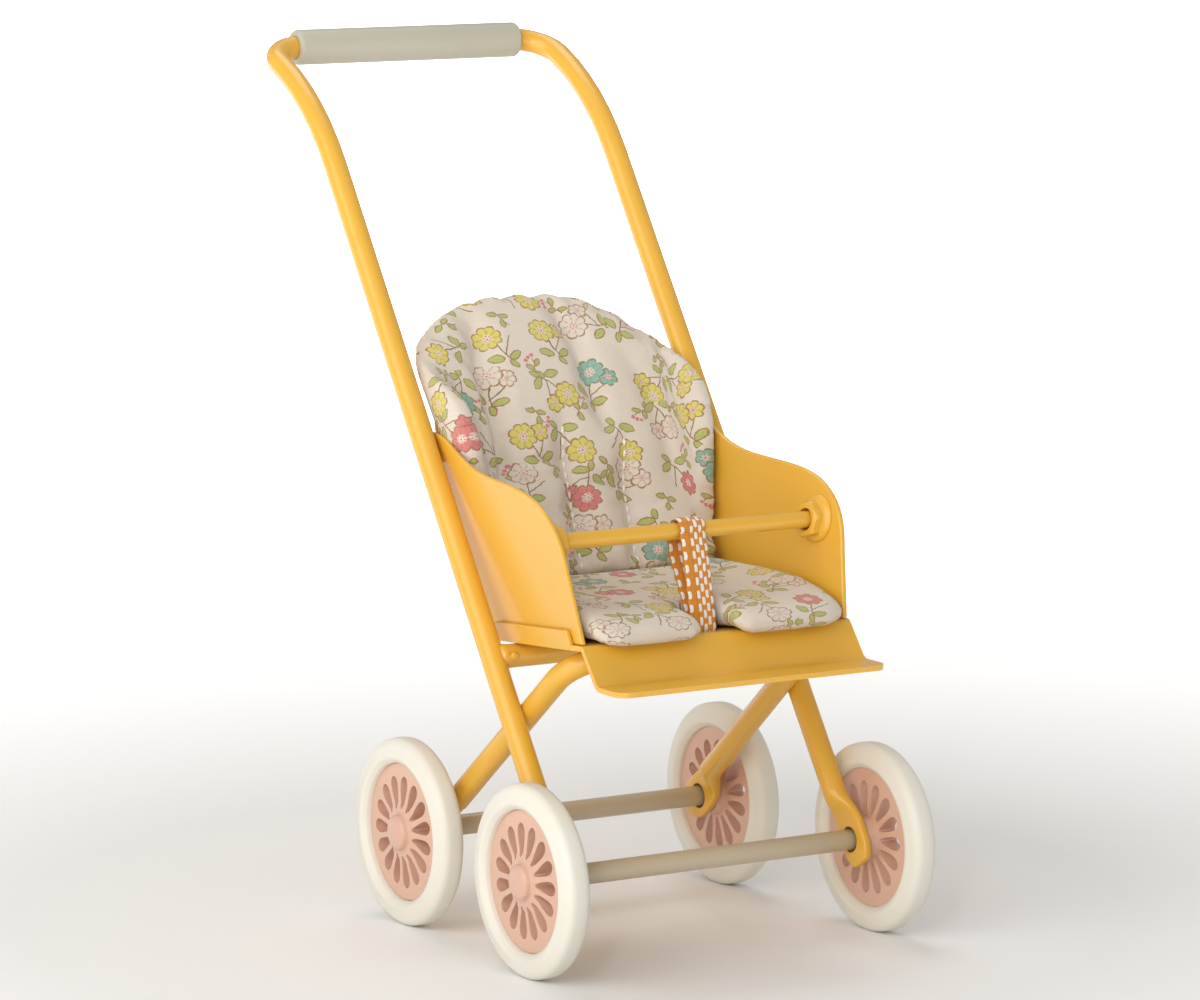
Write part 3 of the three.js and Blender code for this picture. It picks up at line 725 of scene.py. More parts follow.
def weld_bead(name, start, end, radius):
    start, end = Vector(start), Vector(end)
    count = max(6, round((end - start).length / PUDDLE))
    way = (end - start).normalized()
    across = way.orthogonal().normalized()
    rings = []
    for k in range(count + 1):
        t = k / count
        swell = radius * (0.35 + 0.65 * math.sin(math.pi * min(max(t, 0.04), 0.96)) ** 0.5) * MM
        swell *= 1 + 0.10 * math.sin(k * 2.1)
        rings.append(shifted(ring((start + (end - start) * t) * MM, across, way.cross(across), swell, swell,
                                  sides=14)))
    make_piece(name, skin(rings), yellow_enamel)


for name, side in RIGHT_AND_LEFT:
    ends = [(side * x, *up_handle(distance, WELD_BACK)) for x, distance in zip(WELD_X, (WELD_FROM, WELD_TO))]
    weld_bead(f"upper_weld_{name}", *ends, WELD_RADIUS)

# %% [markdown]
# The bar across the seat lies loose in two flanged nuts, each welded inside a panel. A nut is a
# hexagon whose corners are turned off by a cone, on a round flange, with a hole through it.

# %% Guard nuts
NUT_HEIGHT, NUT_FLANGE_TOP = 3.35, 1.2
ACROSS_FLATS = 7.0
NUT_HOLE = 2.25
FLANGE_RADIUS = 5.0
NUT_SIDES = 72
HEXAGON = "hexagon"
NUT_SECTIONS = (
    # height over the panel, radius or the hexagon itself
    (NUT_HEIGHT, NUT_HOLE + 0.25), (NUT_HEIGHT, 3.35), (NUT_HEIGHT - 0.3, 3.72), (NUT_HEIGHT - 0.7, HEXAGON),
    (NUT_FLANGE_TOP + 0.1, HEXAGON), (NUT_FLANGE_TOP, 4.2), (0.8, 4.75), (0.45, FLANGE_RADIUS),
    (0, FLANGE_RADIUS), (0, NUT_HOLE), (NUT_HEIGHT - 0.25, NUT_HOLE),
)


def hexagon_radius(angle):
    """How far the hexagon reaches, at an angle from the middle of one of its flats."""
    return ACROSS_FLATS / 2 / math.cos((angle + math.pi / 6) % (math.pi / 3) - math.pi / 6)


def guard_nut(name, side, turn):
    """A nut square to its panel. `turn` is the angle from straight ahead up to a corner."""
    rings = []
    for height, widest in NUT_SECTIONS:
        loop = []
        for k in range(NUT_SIDES):
            angle = 2 * math.pi * k / NUT_SIDES
            to_flat = hexagon_radius(angle - math.radians(turn))
            radius = to_flat if widest == HEXAGON else widest
            if height > NUT_FLANGE_TOP and widest != HEXAGON and widest > NUT_HOLE + 0.3:
                radius = min(widest, to_flat)
            y, z = BAR_Y + radius * math.sin(angle), BAR_Z + radius * math.cos(angle)
            loop.append(place(side * (panel_x(y, z) - SHEET + 0.05 - height), y, z))
        rings.append(loop)
    nut = make_piece(f"flanged_{name}", skin(rings, closed=True), yellow_enamel, replaces=[f"guard_{name}"])
    round_edges(nut, 0.14, 2, 24)


guard_nut("nut_right", -1, -8)
guard_nut("nut_left", 1, 17)

# %% The guard bar
BAR_RADIUS, BAR_HALF = half_of("guard_bar").z / MM, half_of("guard_bar").x / MM
BAR_CHAMFER = 0.35


def rod_profile(radius, half, chamfer):
    """A rod with a chamfer at each end."""
    rear = [(radius - chamfer, -half), (radius, chamfer - half)]
    return rear + [(r, -x) for r, x in rear[::-1]]


bar_rings = turned(rod_profile(BAR_RADIUS, BAR_HALF, BAR_CHAMFER), place(0, BAR_Y, BAR_Z))
loose_bar = make_piece("loose_bar", skin(bar_rings), yellow_enamel, body="guard_bar", replaces=["guard_bar"])
round_edges(loose_bar, 0.1, 2, 30)
print("bar radius", round(BAR_RADIUS, 2))

# %% [markdown]
# The hand grip is a moulded sleeve pushed over the crossbar before it was bent: a plain round
# outside with softened ends, and the yellow tube showing at each side.

# %% The grip and its plastic
def plastic_recipe(name, base, shade, roughness, grain_mm=0.35, grain_depth=0.012, **constants):
    recipe = Recipe(name, base, roughness, **constants)
    grain = recipe.noise(1 / grain_mm, 3, 0.6)
    recipe.feed("Base Color", recipe.blend(recipe.noise(0.05, 2), base, shade))
    recipe.feed("Roughness", grain * 0.14 + (roughness - 0.07))
    recipe.feed("Normal", recipe.bump(grain, grain_depth))
    return recipe.material


grip_plastic = plastic_recipe("grip_plastic", srgb(186, 182, 166), srgb(178, 174, 157), 0.5)
GRIP_HALF, GRIP_RADIUS = half_of("handle_grip").x / MM, half_of("handle_grip").z / MM
GRIP_ROUND = 1.05
GRIP_BORE = TUBE + 0.02
grip_profile = [(GRIP_BORE, -GRIP_HALF)]
for side, degrees in ((-1, -90), (1, 0)):
    corner = (GRIP_RADIUS - GRIP_ROUND, side * (GRIP_HALF - GRIP_ROUND))
    grip_profile += arc(corner, GRIP_ROUND, degrees, degrees + 90, 8)
grip_profile.append((GRIP_BORE, GRIP_HALF))
make_piece("grip_sleeve", skin(turned(grip_profile, middle_of("handle_grip"), 64), closed=True), grip_plastic,
           replaces=["handle_grip"])
print("grip", round(GRIP_RADIUS * 2, 1), "mm thick")

# %% [markdown]
# Each wheel is a moulded disc with fifteen petal slots and a domed hub, and a pale rubber tyre
# stretched over its rim. Turning gives both their sections. The slots are cut through the disc
# with petal-shaped cutters, and a small bevel gives the slots their moulded edge.

# %% Wheel plastics and rubber
disc_plastic = plastic_recipe("disc_plastic", srgb(218, 178, 156), srgb(212, 170, 147), 0.34, 0.5, 0.01,
                              Coat_Weight=0.15, Coat_Roughness=0.1)
tyre_rubber = plastic_recipe("tyre_rubber", srgb(231, 228, 217), srgb(225, 221, 208), 0.5, 0.3, 0.014)
PETALS = 15
DISC_RADIUS = 14.7
DISC_REAR = [(2.25, -3.9), (3.85, -3.9), (4.1, -3.6), (4.6, -1.95), (13.6, -1.6), (DISC_RADIUS, -1.5)]
DISC_FRONT = [(13.2, 1.42), (9.0, 1.58), (6.3, 1.72), (5.55, 2.02), (5.2, 2.08), (3.95, 2.12), (3.76, 2.3)]
HUB_DOME = [(3.7, 2.9), (3.5, 3.28), (3.0, 3.6), (2.2, 3.86), (1.2, 4.0), (0.45, 4.05), (0.02, 4.06)]
HUB_BORE = [(0.02, 1.2), (2.25, 1.2)]
# distance from the axle, half the slot's width there
PETAL = [(5.1, 0.24), (6.2, 0.66), (7.4, 0.98), (8.6, 1.24), (9.6, 1.4), (10.5, 1.42), (11.3, 1.16),
         (11.8, 0.68)]
PETAL_END = 12.05


def petal_cutter(axle, angle):
    """A slot pointed at the hub and round at the rim, as a prism along the axle."""
    outline = [(r, -w) for r, w in PETAL] + [(PETAL_END, 0.0)] + [(r, w) for r, w in PETAL[::-1]]
    c, s = math.cos(angle), math.sin(angle)
    return skin([[axle + Vector((along, r * c - w * s, r * s + w * c)) * MM for r, w in outline]
                 for along in (-6, 6)])


def wheel_disc(name, node, axle, outward, turn, body):
    rim = [(DISC_RADIUS, 0.95)] + arc((DISC_RADIUS - 0.35, 0.95), 0.35, 0, 90, 3)
    profile = DISC_REAR + rim + DISC_FRONT + HUB_DOME + HUB_BORE
    disc = make_piece(name, skin(turned(profile, axle, 120, outward), closed=True), disc_plastic, body,
                      replaces=[node])
    slots = ([], [])
    for i in range(PETALS):
        add_shape(slots, petal_cutter(axle, turn + 2 * math.pi * i / PETALS))
    cut_away(disc, slots)
    round_edges(disc, 0.16, 2, 50)


# %% Tyres, and the wheels on their axles
INTO_HUB = 0.4  # the axle ends this far short of the wheel's middle
TYRE_FOOT = [(14.72, -1.95), (14.95, -2.35)]
TYRE_TREAD = [(18.3, -2.8), (19.1, -2.45), (19.62, -1.98), (19.9, -1.5), (WHEEL_RADIUS, -0.9)]
WHEEL_SETS = (
    # which axle, its middle, its track, and how far its wheels are turned
    ("front", front_axle, FRONT_TRACK, 2),
    ("rear", rear_axle, REAR_TRACK, 14),
)


def wheel_tyre(name, node, axle, body):
    half = TYRE_FOOT + arc((16.3, -1.95), 1.2, -150, -60, 6) + TYRE_TREAD
    profile = half + [(radius, -x) for radius, x in half[::-1]]
    make_piece(name, skin(turned(profile, axle, 128), closed=True), tyre_rubber, body, replaces=[node])


for end, axle_middle, track, turn in WHEEL_SETS:
    body = f"{end}_wheels"
    for name, side in RIGHT_AND_LEFT:
        hub = Vector((side * track / 2 * MM, axle_middle.y, axle_middle.z))
        angle = math.radians(180 - turn)
        wheel_disc(f"petal_disc_{end}_{name}", f"{end}_wheel_{name}", hub, side, angle, body)
        wheel_tyre(f"pale_tyre_{end}_{name}", f"{end}_tyre_{name}", hub, body)
    half = track / 2 - INTO_HUB
    rod = [(0.02, -half), *rod_profile(half_of(f"{end}_axle").z / MM, half, 0.2), (0.02, half)]
    make_piece(f"turned_axle_{end}", skin(turned(rod, axle_middle, 48)), axle_enamel, body,
               replaces=[f"{end}_axle"])
print("wheels", PETALS, "slots each")

# %% [markdown]
# The crotch strap is a narrow braid in two yarns: mustard, with white floats that step from column
# to column. It is flat, so it is drawn as a band that goes up through the slot, over the bar
# and back down. Each float is a real bump on the band, so the edges look knotted.

# %% The braid of the strap
BRAID_COLUMNS = 6
FLOAT_LENGTH = 2.76
PLAIN_COLUMN = 1  # the second column from the right has no white floats
braid = Recipe("woven_strap", srgb(196, 124, 30), 0.85, Sheen_Weight=0.25, Sheen_Roughness=0.5)
column, run = braid.split(braid.attribute("braid"))
in_column = (column.math("FRACT") - 0.5).size()
stagger = (column.math("FLOOR") * 0.5).math("FRACT")
in_float = ((run + stagger).math("FRACT") - 0.5).size() + braid.noise(0.8, 2) * 0.12
plain = ((column - PLAIN_COLUMN - 0.5).size()).below(0.5, 0.02)
white = (in_float + in_column * in_column * 0.6).below(0.37, 0.05) * in_column.below(0.36, 0.08) * (1 - plain)
yarn = braid.noise(7, 3, 0.7)
mustard = braid.blend(yarn, srgb(190, 108, 14), srgb(222, 148, 36))
# painted shade: the mustard is darkened towards the groove between each two columns, where shade falls
groove_shade = (in_column * 2 - 0.72).math("MULTIPLY", 2.4, clamp=True)
groove_shaded_mustard = braid.blend(groove_shade * 0.45, mustard, srgb(146, 78, 10))
cream = braid.blend(yarn, srgb(214, 205, 190), srgb(246, 241, 232))
braid.feed("Base Color", braid.blend(white, groove_shaded_mustard, cream))
braid.feed("Normal", braid.bump(yarn, 0.10))
woven_strap = braid.material

# %% The strap
STRAP_HALF, STRAP_THICKNESS = 3.2, 1.0
STRAP_AT_BAR, STRAP_LEAN = 0.5, 0.096
LOOP_RADIUS = BAR_RADIUS + 0.12 + STRAP_THICKNESS / 2
TAIL = 3.6  # how far the ends hang below the pan
APART = 0.58  # each run, from the middle of the slot


def strap_middle(z):
    """The strap hangs a little to one side: its middle line at a height."""
    return STRAP_AT_BAR + STRAP_LEAN * (z - BAR_Z)


def strap_path():
    """The middle of the band: up in front, round the bar, and down behind."""
    slot_y = (SLOT["front"] + SLOT["rear"]) / 2
    foot = pan_under(slot_y) - TAIL
    behind = [(BAR_Y + LOOP_RADIUS - 1.2, 82.5), (slot_y + 5.2, 76.0), (slot_y + 1.2, foot + 7),
              (slot_y + APART, foot + 4), (slot_y + APART, foot)]
    before = [(slot_y - APART, foot), (slot_y - APART, foot + 4), (slot_y - 0.4, foot + 7),
              (slot_y + 1.9, 76.0), (BAR_Y - LOOP_RADIUS - 2.0, 82.5)]
    over = [(BAR_Y - LOOP_RADIUS * math.cos(a), BAR_Z + LOOP_RADIUS * math.sin(a))
            for a in np.linspace(-0.15, math.pi + 0.1, 17)]
    return before + over + behind


def lengths_along(points):
    """How far along a line of points each one is."""
    return np.concatenate([[0], np.cumsum(np.linalg.norm(np.diff(points, axis=0), axis=1))])


def points_at(points, at):
    """The points of a line at the given lengths along it."""
    lengths = lengths_along(points)
    return np.stack([np.interp(at, lengths, points[:, i]) for i in (0, 1)], axis=1)


def smooth_line(points, step):
    """Even points, `step` apart, on a smooth curve through the given ones."""
    points = np.array(points, float)
    padded = np.vstack([2 * points[0] - points[1], points, 2 * points[-1] - points[-2]])
    fine = []
    for a, b, c, d in zip(padded, padded[1:], padded[2:], padded[3:]):
        for t in np.linspace(0, 1, 24, endpoint=False):
            fine.append(0.5 * (2 * b + (c - a) * t + (2 * a - 5 * b + 4 * c - d) * t * t
                               + (3 * b - a - 3 * c + d) * t ** 3))
    fine = np.array(fine + [points[-1]])
    length = lengths_along(fine)[-1]
    at = np.linspace(0, length, max(2, round(length / step)) + 1)
    return points_at(fine, at), at


def float_height(column, run):
    """How far the yarns stand up at a place on the braid."""
    in_column = abs(column % 1 - 0.5)
    in_float = abs((run + (math.floor(column) * 0.5) % 1) % 1 - 0.5)
    return (1 - (2 * in_column) ** 2) ** 0.5 * (0.55 + 0.45 * math.cos(2 * math.pi * in_float))


middle_line, run_at = smooth_line(strap_path(), 0.22)
ways = np.gradient(middle_line, axis=0)
ways /= np.linalg.norm(ways, axis=1)[:, None]
strap_rings, braid_places = [], []
ACROSS = 26
for (y, z), (dy, dz), run_mm in zip(middle_line, ways, run_at):
    loop = []
    knots = 0.12 * math.cos(2 * math.pi * run_mm / FLOAT_LENGTH)
    for face in (1, -1):
        for k in range(ACROSS)[::face]:
            share = k / (ACROSS - 1)
            column = min(share * BRAID_COLUMNS, BRAID_COLUMNS - 1e-4)
            height = float_height(column, run_mm / FLOAT_LENGTH)
            edge = 1 - abs(2 * share - 1) ** 6
            lift = face * (STRAP_THICKNESS / 2 * (0.35 + 0.65 * edge) - 0.2 + 0.2 * height)
            x = strap_middle(z) + (2 * share - 1) * (STRAP_HALF - 0.1 + knots)
            loop.append(place(x, y + dz * lift, z - dy * lift))
            braid_places.append((column, run_mm / FLOAT_LENGTH, 0.0))
    strap_rings.append(loop)
strap_band = make_piece("braided_strap", skin(strap_rings), woven_strap, replaces=["crotch_strap"])


def mark_places(piece, name, places):
    """Gives each point of a piece its place on the cloth, for the finish to read."""
    layer = piece.data.attributes.new(name, "FLOAT_VECTOR", "POINT")
    layer.data.foreach_set("vector", np.array(places, float).ravel())


mark_places(strap_band, "braid", braid_places)
print("strap", round(run_at[-1], 1), "mm long,", len(strap_band.data.vertices), "points")

# %% [markdown]
# The insert is unbleached cotton printed with small flowers. A Voronoi texture scatters one sprig to
# each cell: inside a cell, the distance and direction from the cell's middle say where the
# petals, the stem and the leaves are. The cell's random colour turns the sprig, picks its ink
# and whether its smaller flower is there. A second scatter of small twigs fills the ground between sprigs.

# %% The printed cotton
GROUND = srgb(220, 209, 195)
cotton = Recipe("printed_cotton", GROUND, 0.88, Sheen_Weight=0.18, Sheen_Roughness=0.6)
cloth_place = cotton.attribute("cloth")
INK_EDGE = 0.055


def cloth_noise(place, per_mm, detail):
    noise = cotton.node("ShaderNodeTexNoise", noise_dimensions="2D")
    noise.inputs["Scale"].default_value = per_mm
    noise.inputs["Detail"].default_value = detail
    cotton.link(place, noise.inputs["Vector"])
    return noise


def wobble(place, amount, per_mm):
    """Moves a place about a little, as a hand-drawn line does."""
    noise = cloth_noise(place, per_mm, 1)
    centred = cotton.vector_math("SUBTRACT", noise.outputs["Color"], (0.5, 0.5, 0.5))
    return cotton.vector_math("ADD", place, cotton.vector_math("MULTIPLY", centred, (amount,) * 3))


def scatter(place, offset):
    """Places from the middle of each cell, turned its own way, and the cell's three random numbers."""
    moved = cotton.vector_math("ADD", place, (*offset, 0))
    cells = cotton.node("ShaderNodeTexVoronoi", voronoi_dimensions="2D")
    cells.inputs["Scale"].default_value = 1 / CELL_MM
    cells.inputs["Randomness"].default_value = SHUFFLE
    cotton.link(moved, cells.inputs["Vector"])
    x, y = cotton.split(cotton.vector_math("SUBTRACT", moved, cells.outputs["Position"]))
    chance = cotton.node("ShaderNodeSeparateColor")
    cotton.link(cells.outputs["Color"], chance.inputs[0])
    random = [cotton.field(chance.outputs[i]) for i in range(3)]
    turn = random[0] * (2 * math.pi)
    c, s = turn.math("COSINE"), turn.math("SINE")
    return x * c - y * s, x * s + y * c, random


def far(x, y):
    return (x * x + y * y).math("SQRT")


def petals(x, y, radius, count, depth):
    """A round flower head: inside it, its drawn edge, and the share of the way out to that edge."""
    lobes = (y.math("ARCTAN2", x) * (count / 2)).math("COSINE").size()
    edge = (lobes.math("POWER", 0.6) * depth + (1 - depth)) * radius
    reach = far(x, y) / edge
    return reach.below(1.0, 0.03), ((reach - 1.0).size() * radius).below(0.19, INK_EDGE), reach


def leaf(x, y, centre, degrees, length, width):
    """A pointed leaf: inside it, and its drawn edge."""
    c, s = math.cos(math.radians(degrees)), math.sin(math.radians(degrees))
    x, y = x - centre[0], y - centre[1]
    along, aside = x * c + y * s, (y * c - x * s).size()
    share = along / length
    edge = (1 - share * share).most(0.0).math("POWER", 0.8) * width
    away = aside - edge
    within = share.size().below(1.02, 0.02)
    inside = away.below(0.0, INK_EDGE) * within
    line = away.size().below(0.16, INK_EDGE) * within
    rib = aside.below(0.05, INK_EDGE) * inside * share.below(0.5, 0.1)
    return inside, (line + rib * 0.6).least(1.0)


# %% Sprigs of two flowers
CELL_MM, SHUFFLE = 12.2, 0.42
hand_drawn = wobble(cloth_place, 0.45, 0.9)
x, y, chance = scatter(hand_drawn, (3.0, 1.5))
yellow_ink, teal_ink = srgb(212, 200, 66), srgb(112, 170, 156)
red_ink, leaf_ink = srgb(208, 92, 100), srgb(166, 182, 80)
outline_ink, stem_ink = srgb(146, 92, 34), srgb(126, 96, 44)
teal_outline, bead_ink, eye_ink = srgb(104, 108, 66), srgb(200, 84, 104), srgb(190, 92, 70)

kind = chance[1]
is_yellow = kind.below(0.34, 0.01)
is_teal = kind.below(0.56, 0.01) - is_yellow
is_red = kind.below(0.70, 0.01) - is_teal - is_yellow
filled = (is_yellow + is_teal + is_red).least(1.0)
flower_ink = cotton.blend(is_red, cotton.blend(is_teal, yellow_ink, teal_ink), red_ink)
line_ink = cotton.blend(is_teal, outline_ink, teal_outline)

colour = GROUND
ink_marks = []


def print_ink(amount, ink):
    """Lays one more ink over what is printed so far."""
    global colour
    ink_marks.append(amount)
    colour = cotton.blend(amount, colour, ink)


def print_leaf(x, y, centre, degrees, length, width, line_strength, free=1):
    inside, line = leaf(x, y, centre, degrees, length, width)
    print_ink(inside * free * 0.92, leaf_ink)
    print_ink(line * free * line_strength, outline_ink)


stem = (x - y * y * 0.07 + 0.25).size().below(0.15, INK_EDGE)
print_ink(stem * (y.below(2.2, 0.05) * (y * -1).below(4.4, 0.05)), stem_ink)
branch = (x - (y + 2.6) * 0.85).size().below(0.17, INK_EDGE)
print_ink(branch * y.below(1.6, 0.05) * (y * -1).below(2.6, 0.05), stem_ink)
SPRIG_LEAVES = (((2.2, -3.2), 20, 1.7, 0.85), ((-2.1, -2.6), 152, 1.8, 0.9), ((0.9, -5.0), -62, 1.25, 0.62))
for centre, degrees, length, width in SPRIG_LEAVES:
    print_leaf(x, y, centre, degrees, length, width, 0.85)
FLOWERS = (
    # middle, radius, petals, how deep they are cut, and whether it is there in this cell
    ((3.0, 2.3), 2.0, 6, 0.34, chance[2].below(0.62, 0.01)),
    ((-0.9, 2.9), 2.9, 8, 0.26, 1),
)
for centre, radius, count, depth, present in FLOWERS:
    dx, dy = x - centre[0], y - centre[1]
    out, around = far(dx, dy), dy.math("ARCTAN2", dx)
    inside, line, reach = petals(dx, dy, radius, count, depth)
    inside, line = inside * present, line * present
    print_ink(inside, GROUND)
    print_ink(inside * filled * (1 - reach.below(0.36, 0.08)) * 0.9, flower_ink)
    print_ink(line * 0.85, line_ink)
    rays = (around * count).math("COSINE").below(-0.55, 0.3) * (reach - 0.62).size().below(0.16, 0.08)
    print_ink(rays * inside * 0.4, line_ink)
    beads = (around * 7).math("COSINE").below(0.1, 0.3) * (out - radius * 0.24).size().below(0.15, 0.08)
    print_ink(beads * inside * 0.8, bead_ink)
    print_ink(out.below(0.22, 0.1) * inside * 0.8, eye_ink)

# %% Twigs and berries between the sprigs
taken = ink_marks[0]
for mark in ink_marks[1:]:
    taken = taken.most(mark)
x, y, chance = scatter(hand_drawn, (9.1, 7.6))
free = (1 - taken) * chance[1].below(0.74, 0.01)
twig = (x - (y * 0.9).math("SINE") * 0.35).size().below(0.10, INK_EDGE)
print_ink(twig * y.size().below(2.3, 0.05) * free, stem_ink)
for centre, degrees in (((0.95, 1.0), 48), ((-0.95, 0.1), 134), ((0.5, -1.9), -50)):
    print_leaf(x, y, centre, degrees, 1.15, 0.55, 0.8, free)
for centre in ((-0.5, 2.5), (0.45, 2.95), (-1.35, 1.9)):
    berry = far(x - centre[0], y - centre[1])
    print_ink(berry.below(0.46, 0.08) * free * chance[2].below(0.6, 0.01) * 0.9, red_ink)

# %% Weave, slubs and fading
THREAD_MM = 0.42
warp, weft = [(thread * (2 * math.pi / THREAD_MM)).math("SINE") for thread in cotton.split(cloth_place)]
fleck = cotton.field(cloth_noise(cloth_place, 3.2, 3).outputs["Fac"])
worn = cotton.blend((fleck - 0.46) * 1.2, colour, srgb(204, 191, 172))
cotton.feed("Base Color", cotton.blend(cotton.noise(0.08, 3) * 0.14, worn, srgb(192, 174, 146)))
cotton.feed("Normal", cotton.bump(warp * weft * 0.5 + 0.5, 0.07, after=cotton.bump(fleck, 0.11)))
printed_cotton = cotton.material
print("inks laid", len(ink_marks), "nodes", len(cotton.tree.nodes))

# %% [markdown]
# A pad starts flat. A grid of small squares is kept where it lies inside the cut outline, and the squares
# at the edge are drawn out to the outline itself. Two such layers share their edge, which is the
# sewn seam. Each point knows how far it is from the edge, and stuffing stands higher the further it is.

# %% Cutting and sewing a pad
def even_outline(points, step):
    """The outline again, closed, with a point every `step`."""
    points = np.array(list(points) + [points[0]], float)
    length = lengths_along(points)[-1]
    return points_at(points, np.linspace(0, length, round(length / step), endpoint=False))


def inside_outline(points, outline):
    x, y = points[:, 0], points[:, 1]
    inside = np.zeros(len(points), bool)
    for (ax, ay), (bx, by) in zip(outline, np.roll(outline, -1, axis=0)):
        crosses = (ay > y) != (by > y)
        reach = (bx - ax) * (y - ay) / np.where(by == ay, 1e-12, by - ay) + ax
        inside ^= crosses & (x < reach)
    return inside


def cut_cloth(outline, step):
    """Grid points and squares that fill the outline, with the rim drawn out to it."""
    low, high = outline.min(axis=0) - step, outline.max(axis=0) + step
    across = np.arange(-math.ceil(-low[0] / step), math.ceil(high[0] / step) + 1) * step
    up = np.arange(low[1], high[1] + step, step)
    grid = np.array([(a, b) for b in up for a in across])
    wide = len(across)
    cells = [(r * wide + c, r * wide + c + 1, (r + 1) * wide + c + 1, (r + 1) * wide + c)
             for r in range(len(up) - 1) for c in range(wide - 1)]
    middles = np.array([grid[list(cell)].mean(axis=0) for cell in cells])
    kept = [cell for cell, inside in zip(cells, inside_outline(middles, outline)) if inside]
    used = sorted({v for cell in kept for v in cell})
    number = {v: i for i, v in enumerate(used)}
    faces = [tuple(number[v] for v in cell) for cell in kept]
    points = grid[used]
    counts = {}
    for face in faces:
        for a, b in zip(face, face[1:] + face[:1]):
            counts[frozenset((a, b))] = counts.get(frozenset((a, b)), 0) + 1
    rim = sorted({v for edge, n in counts.items() if n == 1 for v in edge})
    for v in rim:
        points[v] = outline[np.linalg.norm(outline - points[v], axis=1).argmin()]
    neighbours = [[] for _ in points]
    for edge in counts:
        a, b = tuple(edge)
        neighbours[a].append(b)
        neighbours[b].append(a)
    on_rim = np.zeros(len(points), bool)
    on_rim[rim] = True
    for _ in range(12):
        relaxed = np.array([points[n].mean(axis=0) for n in neighbours])
        points[~on_rim] = relaxed[~on_rim]
    return points, faces, on_rim


def sewn_pad(name, outline, put, on_cloth, step=1.25):
    """Two layers of cloth sewn along the outline.

    put(u, v, edge, face) gives each point's place, and on_cloth(u, v, edge) its place on the print.
    Returns the pad, its cut points, which are on the rim, and the number of each one's lower point.
    """
    fine = even_outline(outline, 0.25)
    points, faces, on_rim = cut_cloth(fine, step)
    edge = np.array([np.linalg.norm(fine - p, axis=1).min() for p in points])
    edge[on_rim] = 0
    places = [put(u, v, e, 1) for (u, v), e in zip(points, edge)]
    cloth = [(*on_cloth(u, v, e), 0.0) for (u, v), e in zip(points, edge)]
    under = list(range(len(points)))
    for i, (u, v) in enumerate(points):
        if not on_rim[i]:
            under[i] = len(places)
            places.append(put(u, v, edge[i], -1))
            cloth.append(cloth[i])
    all_faces = faces + [tuple(under[v] for v in reversed(face)) for face in faces]
    pad = make_piece(name, (places, all_faces), printed_cotton)
    mark_places(pad, "cloth", cloth)
    return pad, points, on_rim, under


# %% Filling a pad
MODEL_SCALE = 20  # cloth behaves best at furniture size, so it is filled at that size and shrunk back
FRAMES = 18  # by then the cloth has settled


def fill_pad(pad, held, pressure, shrink, cap_mm):
    """Blows the pad up with cloth simulation. Held points stay; no point moves more than the cap."""
    start = np.array([v.co for v in pad.data.vertices])
    middle = start.mean(axis=0)
    pins = pad.vertex_groups.new(name="held")
    for i, weight in held.items():
        pins.add([i], weight, "REPLACE")
    blown = pad.copy()
    blown.data = pad.data.copy()
    blown.parent = None
    blown.matrix_world = Matrix.Identity(4)
    bpy.context.scene.collection.objects.link(blown)
    blown.data.vertices.foreach_set("co", ((start - middle) * MODEL_SCALE).ravel())
    cloth = blown.modifiers.new("cloth", "CLOTH")
    settings = cloth.settings
    settings.quality, settings.mass = 6, 0.3
    settings.tension_stiffness = settings.compression_stiffness = 18
    settings.shear_stiffness, settings.bending_stiffness = 8, 0.35
    settings.use_pressure, settings.uniform_pressure_force = True, pressure
    settings.shrink_min = shrink
    settings.effector_weights.gravity = 0
    settings.vertex_group_mass = "held"
    cloth.collision_settings.use_collision = False
    cloth.point_cache.frame_start, cloth.point_cache.frame_end = 1, FRAMES
    scene = bpy.context.scene
    for number in range(1, FRAMES + 1):
        scene.frame_set(number)
    graph = bpy.context.evaluated_depsgraph_get()
    settled = np.array([v.co for v in blown.evaluated_get(graph).data.vertices]) / MODEL_SCALE + middle
    scene.frame_set(1)
    move = settled - start
    length = np.linalg.norm(move, axis=1)
    move *= np.minimum(1, cap_mm * MM / np.maximum(length, 1e-9))[:, None]
    pad.data.vertices.foreach_set("co", (start + move).ravel())
    pad.data.update()
    bpy.data.objects.remove(blown)
    pad.vertex_groups.remove(pins)
    print(pad.name, "filled, greatest move", round(float(np.linalg.norm(move, axis=1).max()) / MM, 2), "mm")


def smooth_cloth(pad):
    fold = pad.modifiers.new("smooth cloth", "SUBSURF")
    fold.levels = fold.render_levels = 1

# %% [markdown]
# The back of the insert leans on the back plate. It is widest at the middle and rounds over at the
# head, which flops back a little over the plate. Its sides turn forward up the flaring panels. Five
# quilted lines run up it, the filling bulges between them, and only the middle two show stitches.

